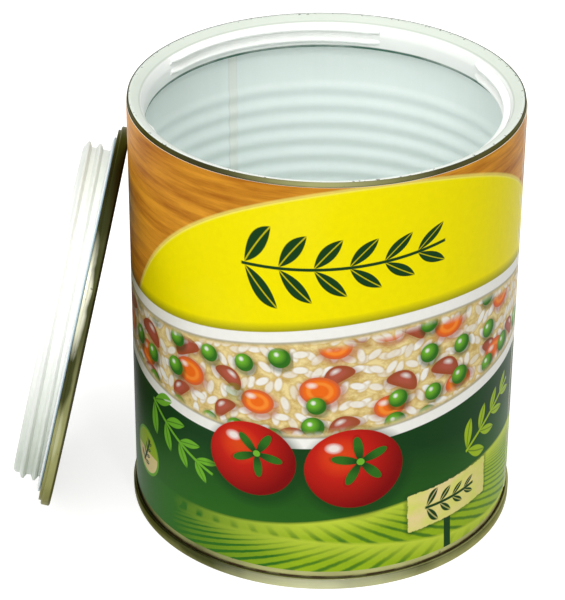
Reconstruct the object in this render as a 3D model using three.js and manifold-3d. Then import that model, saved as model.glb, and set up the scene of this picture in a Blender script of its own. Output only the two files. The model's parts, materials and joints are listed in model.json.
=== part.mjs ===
// A can that hides a small store: a food can whose cut-off top end is a screw lid.
// The lid stands beside the open can and leans on it.
// Millimetres, +Z up. X runs from the lid to the can, Y away from the viewer.
import * as THREE from "three";
import { mergeVertices } from "three/addons/utils/BufferGeometryUtils.js";
import Module from "manifold-3d";

const wasm = await Module();
wasm.setup();

// Driving dimensions
const CAN_HEIGHT = 119;
const BODY_RADIUS = 49.6;
const PLATE = 0.25; // tinplate thickness
const LAYER_GAP = 0.1; // between the folded layers of a seam, and between parts that touch
const SEAM_HEIGHT = 3.1;
const LID_SEAM_HEIGHT = 2.4; // the cut-off edge of the body sticks out below this seam
const SEAM_EDGE = 0.35; // bevel of the seam's outer edges
const HOOK_SHORTER = 1.1; // a hook is this much shorter than its seam is high
const COUNTERSINK = 2.9; // depth of the groove round an end's panel, from the seam's edge
const GROOVE_WIDTH = 2.4;
const PANEL_RISE = 0.6; // the panel stands this much above the groove
const RING_RADIUS = 39.9; // middle of the ring pressed into the panel
const RING_WIDTH = 4.2;
const RING_DEPTH = 0.5;
const PRESSED_SLOPE = 0.8; // width of the slopes beside pressed steps
const CUT_GAP = 0.3; // closed lid's seam to the cut edge of the body
const BEAD_PITCH = 5;
const BEAD_COUNT = 15;
const BEAD_DEPTH = 0.55;
const TOP_BEAD_BELOW_TOP = 25;
const PAPER = 0.15;
const LABEL_BOTTOM = 5;
const LABEL_TOP_MARGIN = 1.25; // bare metal above the label
const LAP_ANGLE = 78; // where the paper's lap starts, in degrees from the front towards the right
const THREAD_PITCH = 3;
const BORE_RADIUS = 45.4; // neck ring, at the root of its thread
const THREAD_HEIGHT = 1.3;
const THREAD_FIT = 0.4; // crest of one thread to the root of the other
const THREAD_ROOT_WIDTH = 2.4;
const THREAD_CREST_WIDTH = 0.5;
const THREAD_BITE = 0.4; // how far a thread is sunk into its wall
const THREAD_END_HEIGHT = 0.3; // share of its height that a thread has at its very end
const NECK_HEIGHT = 8.1;
const NECK_WALL = 1.5;
const SKIRT_WALL = 1;
const SKIRT_HEIGHT = 8.6;
const FLANGE_DROP = 1.3; // the flange's slope down to the mouth
const FLANGE_RIM = 0.6; // level edge of the flange beside the shell
const LEAD_IN = 2.6; // height of the bevelled mouth
const LEAD_IN_DEPTH = 0.9;
const NECK_THREAD_GAPS = 3; // gaps that break the neck's thread in each turn
const NECK_THREAD_RIDGES = 5; // stretches of thread between those gaps
const NECK_THREAD_ARC = 80;
const NECK_THREAD_START = 73; // uppermost stretch, in degrees from +X towards +Y
const NECK_THREAD_DROP = 3.4; // cut edge down to the upper thread's middle at +X
const PLUG_DEPTH = 7.1; // threaded length below the washer
const PLUG_WALL = 2;
const PLUG_FLOOR = 1.5;
const PLUG_END_BEVEL = 0.6;
const PLUG_THREAD_TURNS = 1.6;
const PLUG_THREAD_START = -212; // in degrees from +X towards +Y, with the lid closed
const PLUG_THREAD_DROP = 4.1; // washer down to the thread's middle at +X
const WASHER = 0.8;
const WASHER_WIDTH = 3.4;
const WASHER_BEVEL = 1.2;
const LEAN = 12.7; // the lid's lean from upright, in degrees
const LEAN_GAP = 0.3; // lid's rim to the label
const FACETS = 40;

// Radii of the folded seam's layers, from the inside out
const wallInner = BODY_RADIUS - PLATE;
const chuckOuter = wallInner - LAYER_GAP;
const chuckInner = chuckOuter - PLATE;
const endHookInner = BODY_RADIUS + LAYER_GAP;
const endHookOuter = endHookInner + PLATE;
const bodyHookInner = endHookOuter + LAYER_GAP;
const bodyHookOuter = bodyHookInner + PLATE;
const seamInner = bodyHookOuter + LAYER_GAP;
const seamOuter = seamInner + PLATE;

// Heights
const cutEdge = CAN_HEIGHT - SEAM_HEIGHT - CUT_GAP;
const labelTop = cutEdge - LABEL_TOP_MARGIN;
const hookStart = PLATE + LAYER_GAP;
const neckBottom = cutEdge - NECK_HEIGHT;

// Depths below the lid's outer face
const panelDepth = COUNTERSINK - PANEL_RISE;
const plugTop = COUNTERSINK + PLATE;
const washerTop = plugTop + LAYER_GAP;
const washerBottom = washerTop + WASHER;
const plugEnd = washerBottom + PLUG_DEPTH;

// Radii of the lid's plug
const plugCrest = BORE_RADIUS - THREAD_FIT;
const plugRoot = plugCrest - THREAD_HEIGHT;
const neckCrest = BORE_RADIUS - THREAD_HEIGHT;

const finish = {
  tinplate: { color: 0xb9ae86, roughness: 0.32, metalness: 1 },
  compound: { color: 0x8f9a8a, roughness: 0.7, metalness: 0 },
  paper: { color: 0xf0e02a, roughness: 0.35, metalness: 0 },
  plastic: { color: 0xf2f3f1, roughness: 0.4, metalness: 0 },
  washer: { color: 0xd5dde2, roughness: 0.6, metalness: 0 },
};

function named(name, geometry, look) {
  const mesh = new THREE.Mesh(geometry, new THREE.MeshStandardMaterial(look));
  mesh.name = name;
  return mesh;
}

// Revolves a closed outline of [radius, height] points round the Z axis.
function revolved(outline) {
  const area = THREE.ShapeUtils.area(outline.map(([x, y]) => new THREE.Vector2(x, y)));
  const loop = area > 0 ? [...outline] : [...outline].reverse();
  const points = [...loop, loop[0]].map(([r, z]) => new THREE.Vector2(r, z));
  return new THREE.LatheGeometry(points, FACETS).rotateX(Math.PI / 2);
}

// Turns an outline given as depth below the lid's outer face into one given as height.
function fromTop(outline) {
  return outline.map(([r, depth]) => [r, CAN_HEIGHT - depth]);
}

function solid(geometry) {
  const bare = geometry.clone();
  bare.deleteAttribute("normal");
  bare.deleteAttribute("uv");
  const merged = mergeVertices(bare, 1e-4);
  const vertProperties = new Float32Array(merged.attributes.position.array);
  const triVerts = new Uint32Array(merged.index.array);
  return new wasm.Manifold(new wasm.Mesh({ numProp: 3, vertProperties, triVerts }));
}

function joined(geometries) {
  const whole = geometries.map(solid).reduce((sum, piece) => sum.add(piece));
  const mesh = whole.getMesh();
  const geometry = new THREE.BufferGeometry();
  geometry.setAttribute("position", new THREE.BufferAttribute(mesh.vertProperties, 3));
  geometry.setIndex(new THREE.BufferAttribute(mesh.triVerts, 1));
  geometry.computeVertexNormals();
  return geometry;
}

// A thread's ridge: a straight bar wound round the Z axis, lower at both ends.
function threadRidge({ root, crest, startAngle, arc, heightAtZero }) {
  const outwards = crest > root;
  const height = Math.abs(crest - root);
  const bar = new THREE.Shape([
    new THREE.Vector2(-THREAD_BITE, -THREAD_ROOT_WIDTH / 2),
    new THREE.Vector2(height, -THREAD_CREST_WIDTH / 2),
    new THREE.Vector2(height, THREAD_CREST_WIDTH / 2),
    new THREE.Vector2(-THREAD_BITE, THREAD_ROOT_WIDTH / 2),
  ]);
  const steps = Math.ceil((arc * FACETS) / 360);
  const ridge = new THREE.ExtrudeGeometry(bar, { depth: 1, steps, bevelEnabled: false });
  const corners = ridge.attributes.position;
  for (let i = 0; i < corners.count; i += 1) {
    // An outward ridge is wound the other way round, which keeps its faces pointing out.
    const along = outwards ? 1 - corners.getZ(i) : corners.getZ(i);
    const angle = startAngle + arc * along;
    const turn = THREE.MathUtils.degToRad(angle);
    const fade = Math.max(THREAD_END_HEIGHT, Math.min(1, along * steps, (1 - along) * steps));
    const rise = Math.min(corners.getX(i), height * fade);
    const radius = outwards ? root + rise : root - rise;
    const z = heightAtZero + (THREAD_PITCH * angle) / 360 + corners.getY(i);
    corners.setXYZ(i, radius * Math.cos(turn), radius * Math.sin(turn), z);
  }
  return ridge;
}

// One face of a can end's pressed panel, as [radius, depth] points from the groove to the middle.
function panelFace(grooveRadius, thickness) {
  const grooveInner = chuckInner - GROOVE_WIDTH;
  const ringOuter = RING_RADIUS + RING_WIDTH / 2;
  const ringInner = RING_RADIUS - RING_WIDTH / 2;
  return [
    [grooveRadius, COUNTERSINK + thickness],
    [grooveInner, COUNTERSINK + thickness],
    [grooveInner - PRESSED_SLOPE, panelDepth + thickness],
    [ringOuter, panelDepth + thickness],
    [ringOuter - PRESSED_SLOPE, panelDepth + RING_DEPTH + thickness],
    [ringInner + PRESSED_SLOPE, panelDepth + RING_DEPTH + thickness],
    [ringInner, panelDepth + thickness],
    [0, panelDepth + thickness],
  ];
}

// The folded sheet of a can end, as [radius, depth] points from its outer face.
function endOutline(seamHeight) {
  return [
    [chuckInner, SEAM_EDGE],
    ...panelFace(chuckInner, 0),
    ...panelFace(chuckOuter, PLATE).reverse(),
    [chuckOuter, PLATE],
    [seamInner, PLATE],
    [seamInner, seamHeight - PLATE],
    [endHookOuter, seamHeight - PLATE],
    [endHookOuter, HOOK_SHORTER - PLATE],
    [endHookInner, HOOK_SHORTER - PLATE],
    [endHookInner, seamHeight],
    [seamOuter - SEAM_EDGE, seamHeight],
    [seamOuter, seamHeight - SEAM_EDGE],
    [seamOuter, SEAM_EDGE],
    [seamOuter - SEAM_EDGE, 0],
    [chuckInner + SEAM_EDGE, 0],
  ];
}

// The body's edge, folded into a seam, as [radius, depth] points from its inner face to its outer.
function bodyHook(seamHeight) {
  const hookEnd = hookStart + seamHeight - HOOK_SHORTER;
  return [
    [wallInner, hookStart],
    [bodyHookOuter, hookStart],
    [bodyHookOuter, hookEnd],
    [bodyHookInner, hookEnd],
    [bodyHookInner, hookStart + PLATE],
    [BODY_RADIUS, hookStart + PLATE],
  ];
}

// The sealing compound fills the seam past the end of the body's hook.
function compoundOutline(seamHeight) {
  const top = hookStart + seamHeight - HOOK_SHORTER + LAYER_GAP;
  const bottom = seamHeight - PLATE - LAYER_GAP;
  return [
    [bodyHookInner, top],
    [bodyHookOuter, top],
    [bodyHookOuter, bottom],
    [bodyHookInner, bottom],
  ];
}

// One face of the body's rolled beads, as [radius, height] points from the bottom up.
function beads(faceRadius) {
  const highest = CAN_HEIGHT - TOP_BEAD_BELOW_TOP;
  const lowest = highest - BEAD_PITCH * (BEAD_COUNT - 1);
  const points = [[faceRadius, lowest - BEAD_PITCH / 2]];
  for (let i = 0; i < BEAD_COUNT; i += 1) {
    points.push([faceRadius - BEAD_DEPTH, lowest + BEAD_PITCH * i]);
    points.push([faceRadius, lowest + BEAD_PITCH * (i + 0.5)]);
  }
  return points;
}

function canBody() {
  const outline = [
    ...bodyHook(SEAM_HEIGHT),
    ...beads(BODY_RADIUS),
    [BODY_RADIUS, cutEdge],
    [wallInner, cutEdge],
    ...beads(wallInner).reverse(),
  ];
  return named("can_body", revolved(outline), finish.tinplate);
}

function bottomEnd() {
  return named("bottom_end", revolved(endOutline(SEAM_HEIGHT)), finish.tinplate);
}

function bottomSeamCompound() {
  return named("bottom_seam_compound", revolved(compoundOutline(SEAM_HEIGHT)), finish.compound);
}

// The label is one sheet wrapped round the body, its end lapped over its start.
function paperLabel() {
  const inner = BODY_RADIUS + LAYER_GAP;
  const outer = inner + PAPER;
  const step = 360 / FACETS;
  const lapStart = Math.round((LAP_ANGLE - 90) / step) * step;
  const lapEnd = lapStart + step;
  const sheet = new THREE.Shape();
  const corner = (radius, degrees) => {
    const turn = THREE.MathUtils.degToRad(degrees);
    return new THREE.Vector2(radius * Math.cos(turn), radius * Math.sin(turn));
  };
  const outside = [corner(outer + PAPER, lapStart), corner(outer + PAPER, lapEnd)];
  const inside = [];
  for (let i = 0; i < FACETS; i += 1) {
    outside.push(corner(outer, lapEnd + i * step));
    inside.push(corner(inner, -i * step));
  }
  sheet.setFromPoints(outside);
  sheet.holes.push(new THREE.Path(inside));
  const geometry = new THREE.ExtrudeGeometry(sheet, { depth: labelTop - LABEL_BOTTOM, bevelEnabled: false });
  geometry.translate(0, 0, LABEL_BOTTOM);
  return named("paper_label", geometry, finish.paper);
}

// The white ring in the can's mouth: a skirt inside the shell, a sloping flange and a threaded sleeve.
function neckRing() {
  const skirtOuter = wallInner - LAYER_GAP;
  const mouth = BORE_RADIUS + LEAD_IN_DEPTH;
  const mouthTop = cutEdge - FLANGE_DROP;
  const outline = [
    [skirtOuter, cutEdge],
    [skirtOuter - FLANGE_RIM, cutEdge],
    [mouth, mouthTop],
    [BORE_RADIUS, mouthTop - LEAD_IN],
    [BORE_RADIUS, neckBottom],
    [BORE_RADIUS + NECK_WALL, neckBottom],
    [BORE_RADIUS + NECK_WALL, mouthTop - NECK_WALL],
    [skirtOuter - SKIRT_WALL, cutEdge - NECK_WALL],
    [skirtOuter - SKIRT_WALL, cutEdge - SKIRT_HEIGHT],
    [skirtOuter, cutEdge - SKIRT_HEIGHT],
  ];
  const pieces = [revolved(outline)];
  for (let i = 0; i < NECK_THREAD_RIDGES; i += 1) {
    pieces.push(
      threadRidge({
        root: BORE_RADIUS,
        crest: neckCrest,
        startAngle: NECK_THREAD_START - (360 / NECK_THREAD_GAPS) * i,
        arc: NECK_THREAD_ARC,
        heightAtZero: cutEdge - NECK_THREAD_DROP,
      }),
    );
  }
  return named("neck_ring", joined(pieces), finish.plastic);
}

function lidEnd() {
  return named("lid_end", revolved(fromTop(endOutline(LID_SEAM_HEIGHT))), finish.tinplate);
}

// What is left of the body's wall in the lid's seam after the can was cut open.
function lidSeamStub() {
  const outline = [...bodyHook(LID_SEAM_HEIGHT), [BODY_RADIUS, SEAM_HEIGHT], [wallInner, SEAM_HEIGHT]];
  return named("lid_seam_stub", revolved(fromTop(outline)), finish.tinplate);
}

function lidSeamCompound() {
  return named("lid_seam_compound", revolved(fromTop(compoundOutline(LID_SEAM_HEIGHT))), finish.compound);
}

function lidWasher() {
  const inner = plugRoot + CUT_GAP;
  const outer = inner + WASHER_WIDTH;
  const outline = [
    [inner, washerTop],
    [outer, washerTop],
    [outer, washerTop + WASHER / 2],
    [outer - WASHER_BEVEL, washerBottom],
    [inner, washerBottom],
  ];
  return named("lid_washer", revolved(fromTop(outline)), finish.washer);
}

function lidPlug() {
  const boreRadius = plugRoot - PLUG_WALL;
  const outline = [
    [0, plugTop],
    [plugRoot, plugTop],
    [plugRoot, plugEnd - PLUG_END_BEVEL],
    [plugRoot - PLUG_END_BEVEL, plugEnd],
    [boreRadius, plugEnd],
    [boreRadius, plugTop + PLUG_FLOOR],
    [0, plugTop + PLUG_FLOOR],
  ];
  const thread = threadRidge({
    root: plugRoot,
    crest: plugCrest,
    startAngle: PLUG_THREAD_START,
    arc: PLUG_THREAD_TURNS * 360,
    heightAtZero: CAN_HEIGHT - washerBottom - PLUG_THREAD_DROP,
  });
  return named("lid_plug", joined([revolved(fromTop(outline)), thread]), finish.plastic);
}

// The point round which the closed lid swings over to its leaning place, and the angle of that swing.
function leaningPivot() {
  const lean = THREE.MathUtils.degToRad(LEAN);
  const faceX = -(BODY_RADIUS + LAYER_GAP + PAPER + LEAN_GAP) - (seamOuter - SEAM_EDGE) * Math.sin(lean);
  const faceZ = seamOuter * Math.cos(lean) - SEAM_EDGE * Math.sin(lean);
  const swing = THREE.MathUtils.degToRad(270 - LEAN);
  const axis = new THREE.Vector3(0, 1, 0);
  const closed = new THREE.Vector3(0, 0, CAN_HEIGHT);
  const leaning = new THREE.Vector3(faceX, 0, faceZ);
  const middle = closed.clone().add(leaning).divideScalar(2);
  const offset = closed.clone().sub(leaning).cross(axis).multiplyScalar(-0.5 / Math.tan(swing / 2));
  return { pivot: middle.add(offset), swing };
}

function lidGroup() {
  const lid = new THREE.Group();
  lid.add(lidEnd(), lidSeamStub(), lidSeamCompound(), lidWasher(), lidPlug());
  const { pivot, swing } = leaningPivot();
  lid.position.copy(pivot).negate();
  const swung = new THREE.Group();
  swung.add(lid);
  swung.rotation.y = -swing;
  swung.position.copy(pivot);
  return swung;
}

const can = new THREE.Group();
can.add(canBody(), bottomEnd(), bottomSeamCompound(), paperLabel(), neckRing(), lidGroup());

// The origin is under the middle of the can and its leaning lid.
const bounds = new THREE.Box3().setFromObject(can, true);
can.position.x = -(bounds.min.x + bounds.max.x) / 2;
const root = new THREE.Group();
root.add(can);

export default root;
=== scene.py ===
import json
import math

import bmesh
import bpy
from bpy.props import FloatProperty, FloatVectorProperty, IntProperty, PointerProperty
from mathutils import Matrix, Vector


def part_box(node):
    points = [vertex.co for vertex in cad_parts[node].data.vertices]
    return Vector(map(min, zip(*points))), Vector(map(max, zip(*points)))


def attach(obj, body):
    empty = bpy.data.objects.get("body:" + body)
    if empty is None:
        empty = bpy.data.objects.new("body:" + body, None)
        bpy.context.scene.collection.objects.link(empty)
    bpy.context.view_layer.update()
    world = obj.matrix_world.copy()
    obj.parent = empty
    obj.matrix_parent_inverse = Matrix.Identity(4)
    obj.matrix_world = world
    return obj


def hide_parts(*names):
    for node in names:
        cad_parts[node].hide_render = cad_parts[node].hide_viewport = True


bl_info = {
    "name": "Can safe",
    "version": (1, 0, 0),
    "blender": (4, 5, 0),
    "location": "View3D > Sidebar > Can safe",
    "description": "Models an open can safe with its screw lid leaning on it",
    "category": "Object",
}

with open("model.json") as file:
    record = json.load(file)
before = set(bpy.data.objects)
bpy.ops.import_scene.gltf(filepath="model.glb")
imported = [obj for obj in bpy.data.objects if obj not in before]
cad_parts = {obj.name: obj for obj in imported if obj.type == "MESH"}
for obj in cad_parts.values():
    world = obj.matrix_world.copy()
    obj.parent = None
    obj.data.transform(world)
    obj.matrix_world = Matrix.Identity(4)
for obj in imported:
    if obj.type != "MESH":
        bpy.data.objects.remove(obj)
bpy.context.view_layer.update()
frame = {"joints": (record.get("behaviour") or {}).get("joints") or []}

MM = 0.001
FULL_TURN = 2 * math.pi
WHITE = (1, 1, 1)
SAME_PLACE = 1e-6  # points closer than this are one point
SAME_TURN = 1e-3  # turns closer than this are one turn
SMOOTH_BELOW = math.radians(32)
RIDGE_STEP = math.radians(2)  # turn of one step along a thread's ridge
ROUND_STEPS = 4  # sides of a rounded corner


def joint_named(name):
    """The frame's joint of that name."""
    return next(joint for joint in frame["joints"] if joint["name"] == name)


def axis_place():
    """The place of the can's axis on the floor, from the middle of the neck ring."""
    low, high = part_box("neck_ring")
    return Vector(((low.x + high.x) / 2, 0, 0))


CAN_AXIS = axis_place()
SWING = joint_named("lid_swing")
PIVOT = Vector(SWING["pos_m"])
SWING_ANGLE = math.radians(SWING["range_deg"][1])


def length(name, description, millimetres):
    """A length property, with its default given in millimetres."""
    return FloatProperty(
        name=name,
        description=description,
        default=millimetres * MM,
        min=0,
        precision=5,
        unit="LENGTH",
        subtype="DISTANCE",
    )


def angle(name, description, degrees):
    """An angle property, with its default given in degrees."""
    return FloatProperty(name=name, description=description, default=math.radians(degrees), subtype="ANGLE")


def share(name, description, value):
    """A plain number property from 0 to 1."""
    return FloatProperty(name=name, description=description, default=value, min=0, max=1)


def count(name, description, number, least):
    """A whole number property."""
    return IntProperty(name=name, description=description, default=number, min=least)


def as_light(tone):
    """A screen tone from 0 to 255 as the linear value that a shader reads."""
    part = tone / 255
    return part / 12.92 if part <= 0.04045 else ((part + 0.055) / 1.055) ** 2.4


def colour(name, description, red, green, blue):
    """A colour property, with its default given in screen tones."""
    return FloatVectorProperty(
        name=name,
        description=description,
        default=(as_light(red), as_light(green), as_light(blue)),
        min=0,
        max=1,
        subtype="COLOR",
    )


class CanSizes(bpy.types.PropertyGroup):
    """Sizes of the can's body, its seams and its label."""

    height: length("Height", "Height of the can with its lid on", 119)
    radius: length("Body radius", "Outer radius of the can's body", 49.6)
    plate: length("Plate", "Thickness of the tinplate", 0.25)
    layer_gap: length("Layer gap", "Gap between folded layers and between parts that touch", 0.1)
    seam_height: length("Seam height", "Height of the bottom seam, and of the lid's seam with its stub", 3.1)
    lid_seam_height: length("Lid seam height", "Height of the lid's seam without the stub below it", 2.4)
    hook_shorter: length("Hook shorter", "A hook's length under its seam's height", 1.1)
    fold: length("Fold", "Rounding of the folded sheet", 0.33)
    groove_depth: length("Groove depth", "Depth of the groove round an end's panel", 2.9)
    groove_width: length("Groove width", "Width of the groove round an end's panel", 2.4)
    panel_rise: length("Panel rise", "Height of an end's panel above its groove", 0.6)
    ring_radius: length("Ring radius", "Middle of the ring pressed into an end's panel", 39.9)
    ring_width: length("Ring width", "Width of the ring pressed into an end's panel", 4.2)
    ring_depth: length("Ring depth", "Depth of the ring pressed into an end's panel", 0.5)
    pressed_slope: length("Pressed slope", "Width of the slopes beside pressed steps", 0.8)
    cut_gap: length("Cut gap", "Closed lid's seam to the cut edge of the body", 0.3)
    bead_pitch: length("Bead pitch", "Distance from one rolled bead to the next", 5)
    bead_depth: length("Bead depth", "Depth of each rolled bead", 0.55)
    bead_count: count("Beads", "Number of rolled beads", 15, least=1)
    bead_points: count("Bead points", "Points drawn for each bead", 8, least=4)
    top_bead: length("Top bead", "Top of the closed can down to its highest bead", 25)
    paper: length("Paper", "Thickness of the label's paper", 0.15)
    label_bottom: length("Label bottom", "Floor up to the label's lower edge", 5)
    label_margin: length("Label margin", "Bare metal above the label", 1.25)
    lap_start: angle("Lap start", "The label's free edge, from the +X side", -11)
    lap_angle: angle("Lap angle", "Turn over which the label laps over itself", 9)
    lap_slope: length("Lap slope", "Length over which the lap rises from the paper below it", 1.5)
    label_columns: count("Label columns", "Columns of faces along the label", 246, least=24)
    label_rows: count("Label rows", "Rows of faces up the label", 12, least=1)
    segments: count("Segments", "Straight sides of each turned piece", 180, least=24)


class NeckSizes(bpy.types.PropertyGroup):
    """Sizes of the threaded neck ring."""

    height: length("Height", "Cut edge down to the bottom of the threaded sleeve", 8.1)
    bore: length("Bore", "Inner radius of the sleeve, at the root of its thread", 45.4)
    wall: length("Wall", "Thickness of the sleeve and the flange", 1.5)
    skirt_wall: length("Skirt wall", "Thickness of the skirt inside the shell", 1)
    skirt_height: length("Skirt height", "Height of the skirt inside the shell", 8.6)
    flange_drop: length("Flange drop", "Drop of the flange from the shell to the mouth", 1.3)
    flange_rim: length("Flange rim", "Width of the level rim beside the shell", 0.6)
    lead_in: length("Lead-in", "Height of the bevelled mouth", 2.6)
    lead_in_depth: length("Lead-in depth", "Depth of the bevelled mouth", 0.9)
    edge_round: length("Edge rounding", "Rounding of the ring's thin edges", 0.12)
    rim_round: length("Rim rounding", "Rounding of the rim and of the hidden corners", 0.3)
    mouth_round: length("Mouth rounding", "Rounding between the flange and the bevelled mouth", 0.35)
    bore_round: length("Bore rounding", "Rounding between the bevelled mouth and the bore", 0.5)
    end_round: length("End rounding", "Rounding at the sleeve's lower end", 0.25)
    ridges: count("Ridges", "Stretches of thread between its gaps", 5, least=1)
    gaps: count("Gaps", "Gaps that break the thread in each turn", 3, least=1)
    ridge_arc: angle("Ridge arc", "Turn of each stretch of thread", 80)
    ridge_start: angle("Ridge start", "Start of the uppermost stretch, from the +X side", 73)
    thread_drop: length("Thread drop", "Cut edge down to the thread's middle at the +X side", 3.4)


class LidSizes(bpy.types.PropertyGroup):
    """Sizes of the lid's threaded plug and its washer."""

    pitch: length("Pitch", "Rise of the thread in one turn", 3)
    thread_height: length("Thread height", "Height of the thread's ridge", 1.3)
    thread_fit: length("Thread fit", "Crest of one thread to the root of the other", 0.4)
    root_width: length("Root width", "Width of the ridge at its root", 2.4)
    crest_width: length("Crest width", "Width of the ridge at its crest", 0.5)
    crest_round: length("Crest rounding", "Rounding of the ridge's crest", 0.12)
    bite: length("Bite", "How far the ridge is sunk into its wall", 0.4)
    end_height: share("End height", "Share of its height that a ridge has at its ends", 0.3)
    depth: length("Plug depth", "Length of the plug below the washer", 7.1)
    wall: length("Plug wall", "Thickness of the plug's wall", 2)
    floor: length("Plug floor", "Thickness of the plug's floor", 1.5)
    end_bevel: length("Plug bevel", "Bevel round the plug's open end", 0.6)
    thread_arc: angle("Thread arc", "Turn of the plug's thread", 576)
    thread_start: angle("Thread start", "Start of the closed plug's thread, from the +X side", -212)
    thread_drop: length("Plug thread drop", "Washer down to the thread's middle at the +X side", 4.1)
    edge_round: length("Plug edge rounding", "Rounding of the plug's outer edges", 0.12)
    mouth_round: length("Plug mouth rounding", "Rounding of the plug's inner edge", 0.2)
    floor_round: length("Plug floor rounding", "Rounding between the plug's wall and its floor", 1)
    washer: length("Washer", "Thickness of the washer", 0.8)
    washer_width: length("Washer width", "Width of the washer's ring", 3.4)
    washer_bevel: length("Washer bevel", "Width of the washer's bevel", 1.2)
    washer_edge: length("Washer edge", "Rounding of the washer's edges", 0.1)
    bevel_round: length("Washer bevel rounding", "Rounding at the ends of the washer's bevel", 0.15)


class Finishes(bpy.types.PropertyGroup):
    """Colours of the metal, the plastic and the small parts."""

    tinplate: colour("Tinplate", "Bare tinplate", 168, 168, 114)
    # This colour is also the painted shade on the bare metal.
    tinplate_shade: colour("Tinplate shade", "Bare tinplate where it is stained", 62, 65, 35)
    grazed: colour("Grazed tinplate", "Bare tinplate seen at a low angle", 200, 198, 176)
    # Painted highlight: this colour paints the lamp's highlight on the front of the bottom seam and in
    # streaks along the lid's seam.
    highlight_tone: colour("Polished tinplate", "Tinplate that handling keeps bright", 236, 236, 210)
    lacquer: colour("Lacquer", "Lacquer inside the can", 247, 255, 252)
    lacquer_shade: colour("Lacquer shade", "Lacquer where it is thin", 242, 252, 248)
    weld: colour("Weld", "Stripe over the side seam", 236, 230, 212)
    plastic: colour("Plastic", "White plastic", 254, 255, 252)
    # This colour is also painted shade: the flange's grey and the plug's darker ends.
    plastic_shade: colour("Plastic shade", "White plastic where it is scuffed", 208, 217, 204)
    washer: colour("Washer", "Foam of the washer", 158, 184, 196)
    # This colour is also the painted shade line in the crease at the neck's mouth.
    compound: colour("Compound", "Sealing compound in the seams", 143, 154, 138)
    rust: colour("Rust", "Rust in the crevices", 64, 46, 22)
    # Painted shade on the can's cut-edge strip and on the lid's upper end and outer edge; also the real dark
    # flecks on the neck's flange.
    shade_and_flecks: colour("Grime", "Grime along the lid's edge and in the neck's corners", 34, 30, 12)
    # Painted shade: the green-grey line at the bottom of the neck's sleeve.
    gap_shade_green: colour("Glue", "Film of glue at the bottom of the neck's sleeve", 62, 104, 88)


class Marks(bpy.types.PropertyGroup):
    """Where the wear, the joins, the dirt and the painted shade and highlights lie. The lid's heights are
    those of the closed lid.
    """

    # Painted highlight: the can's bare metal and the neck's flange are painted lighter in this front stretch.
    front: angle("Front", "Middle of the bright stretch of the can's metal, from the +X side", -90)
    front_half: angle("Front half width", "Half of that bright stretch", 18)
    # Painted shade: the can's bare metal is painted darker in this stretch on the left.
    darkened: angle("Dull side", "Middle of the dull stretch of the can's metal, from the +X side", -140)
    darkened_half: angle("Dull half width", "Half of that dull stretch", 32)
    fade: angle("Fade", "Turn over which those stretches fade out", 30)
    seam_top: length("Seam top", "Height below which the bottom seam darkens upwards", 3)
    rust_level: length("Rust level", "Height of the rust along the bottom seam", 3.2)
    rust_half: length("Rust half width", "Half the height of that line of rust", 0.28)
    rust_reach: length("Rust reach", "Radius out to which that line of rust lies", 50)
    # Painted shade: the bare strip below the cut edge is painted dark above this height, less so at the
    # front.
    cut_shade_level: length("Cut grime", "Height above which the can's cut edge is grimy", 113.9)
    face_shade_level: length("Face grime", "Height above which the lid's seam is grimy", 118.4)
    weld: angle("Weld", "Middle of the side seam's stripe, from the +X side", 121.3)
    weld_half: length("Weld half width", "Half the width of the side seam's stripe", 1.2)
    weld_line: length("Weld line", "Half the width of the lines beside the stripe", 0.18)
    weld_radius: length("Weld radius", "Radius within which the lacquer has no stripe", 48.4)
    # Painted shade: the flange is painted grey beyond this radius and above this height, less at the front.
    flange_radius: length("Flange radius", "Radius beyond which the flange is scuffed", 46.4)
    flange_level: length("Flange level", "Height above which the flange is scuffed", 113.6)
    flange_front: angle("Flange front", "Half of the flange's cleaner front", 60)
    fleck_radius: length("Fleck radius", "Radius beyond which the flange has flecks", 48.6)
    # Painted shade: a thin dark line in the crease at the mouth.
    crease_radius: length("Crease radius", "Radius of the crease at the mouth", 46.6)
    crease_half: length("Crease half width", "Half the width of that crease", 0.2)
    crease_level: length("Crease level", "Height above which that crease shows", 113)
    # Painted shade: a green-grey line at the bottom of the sleeve, below this height and within this radius.
    gap_shade_level: length("Film level", "Height below which the sleeve has a film of glue", 108.25)
    gap_shade_radius: length("Film radius", "Radius within which the sleeve has that film", 46)
    # Painted shade: the lid's seam is painted dark above this height, along its outer face's edge.
    foam_edge: length("Foam edge", "Height above which the washer's foam shows its colour", 115.35)
    # Painted shade: the lid's upper end is painted dark beyond this distance.
    lid_top: length("Lid's upper end", "Distance from its axis at which the lid's upper end is grimy", 47)
    # Painted shade: the plug's upper and lower ends are painted darker beyond these distances.
    plug_top: length("Plug's upper end", "Distance from its axis at which the plug's upper end is dull", 40)
    plug_low: length("Plug's lower end", "Distance from its axis at which the plug's lower end is dull", 2)


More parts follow.
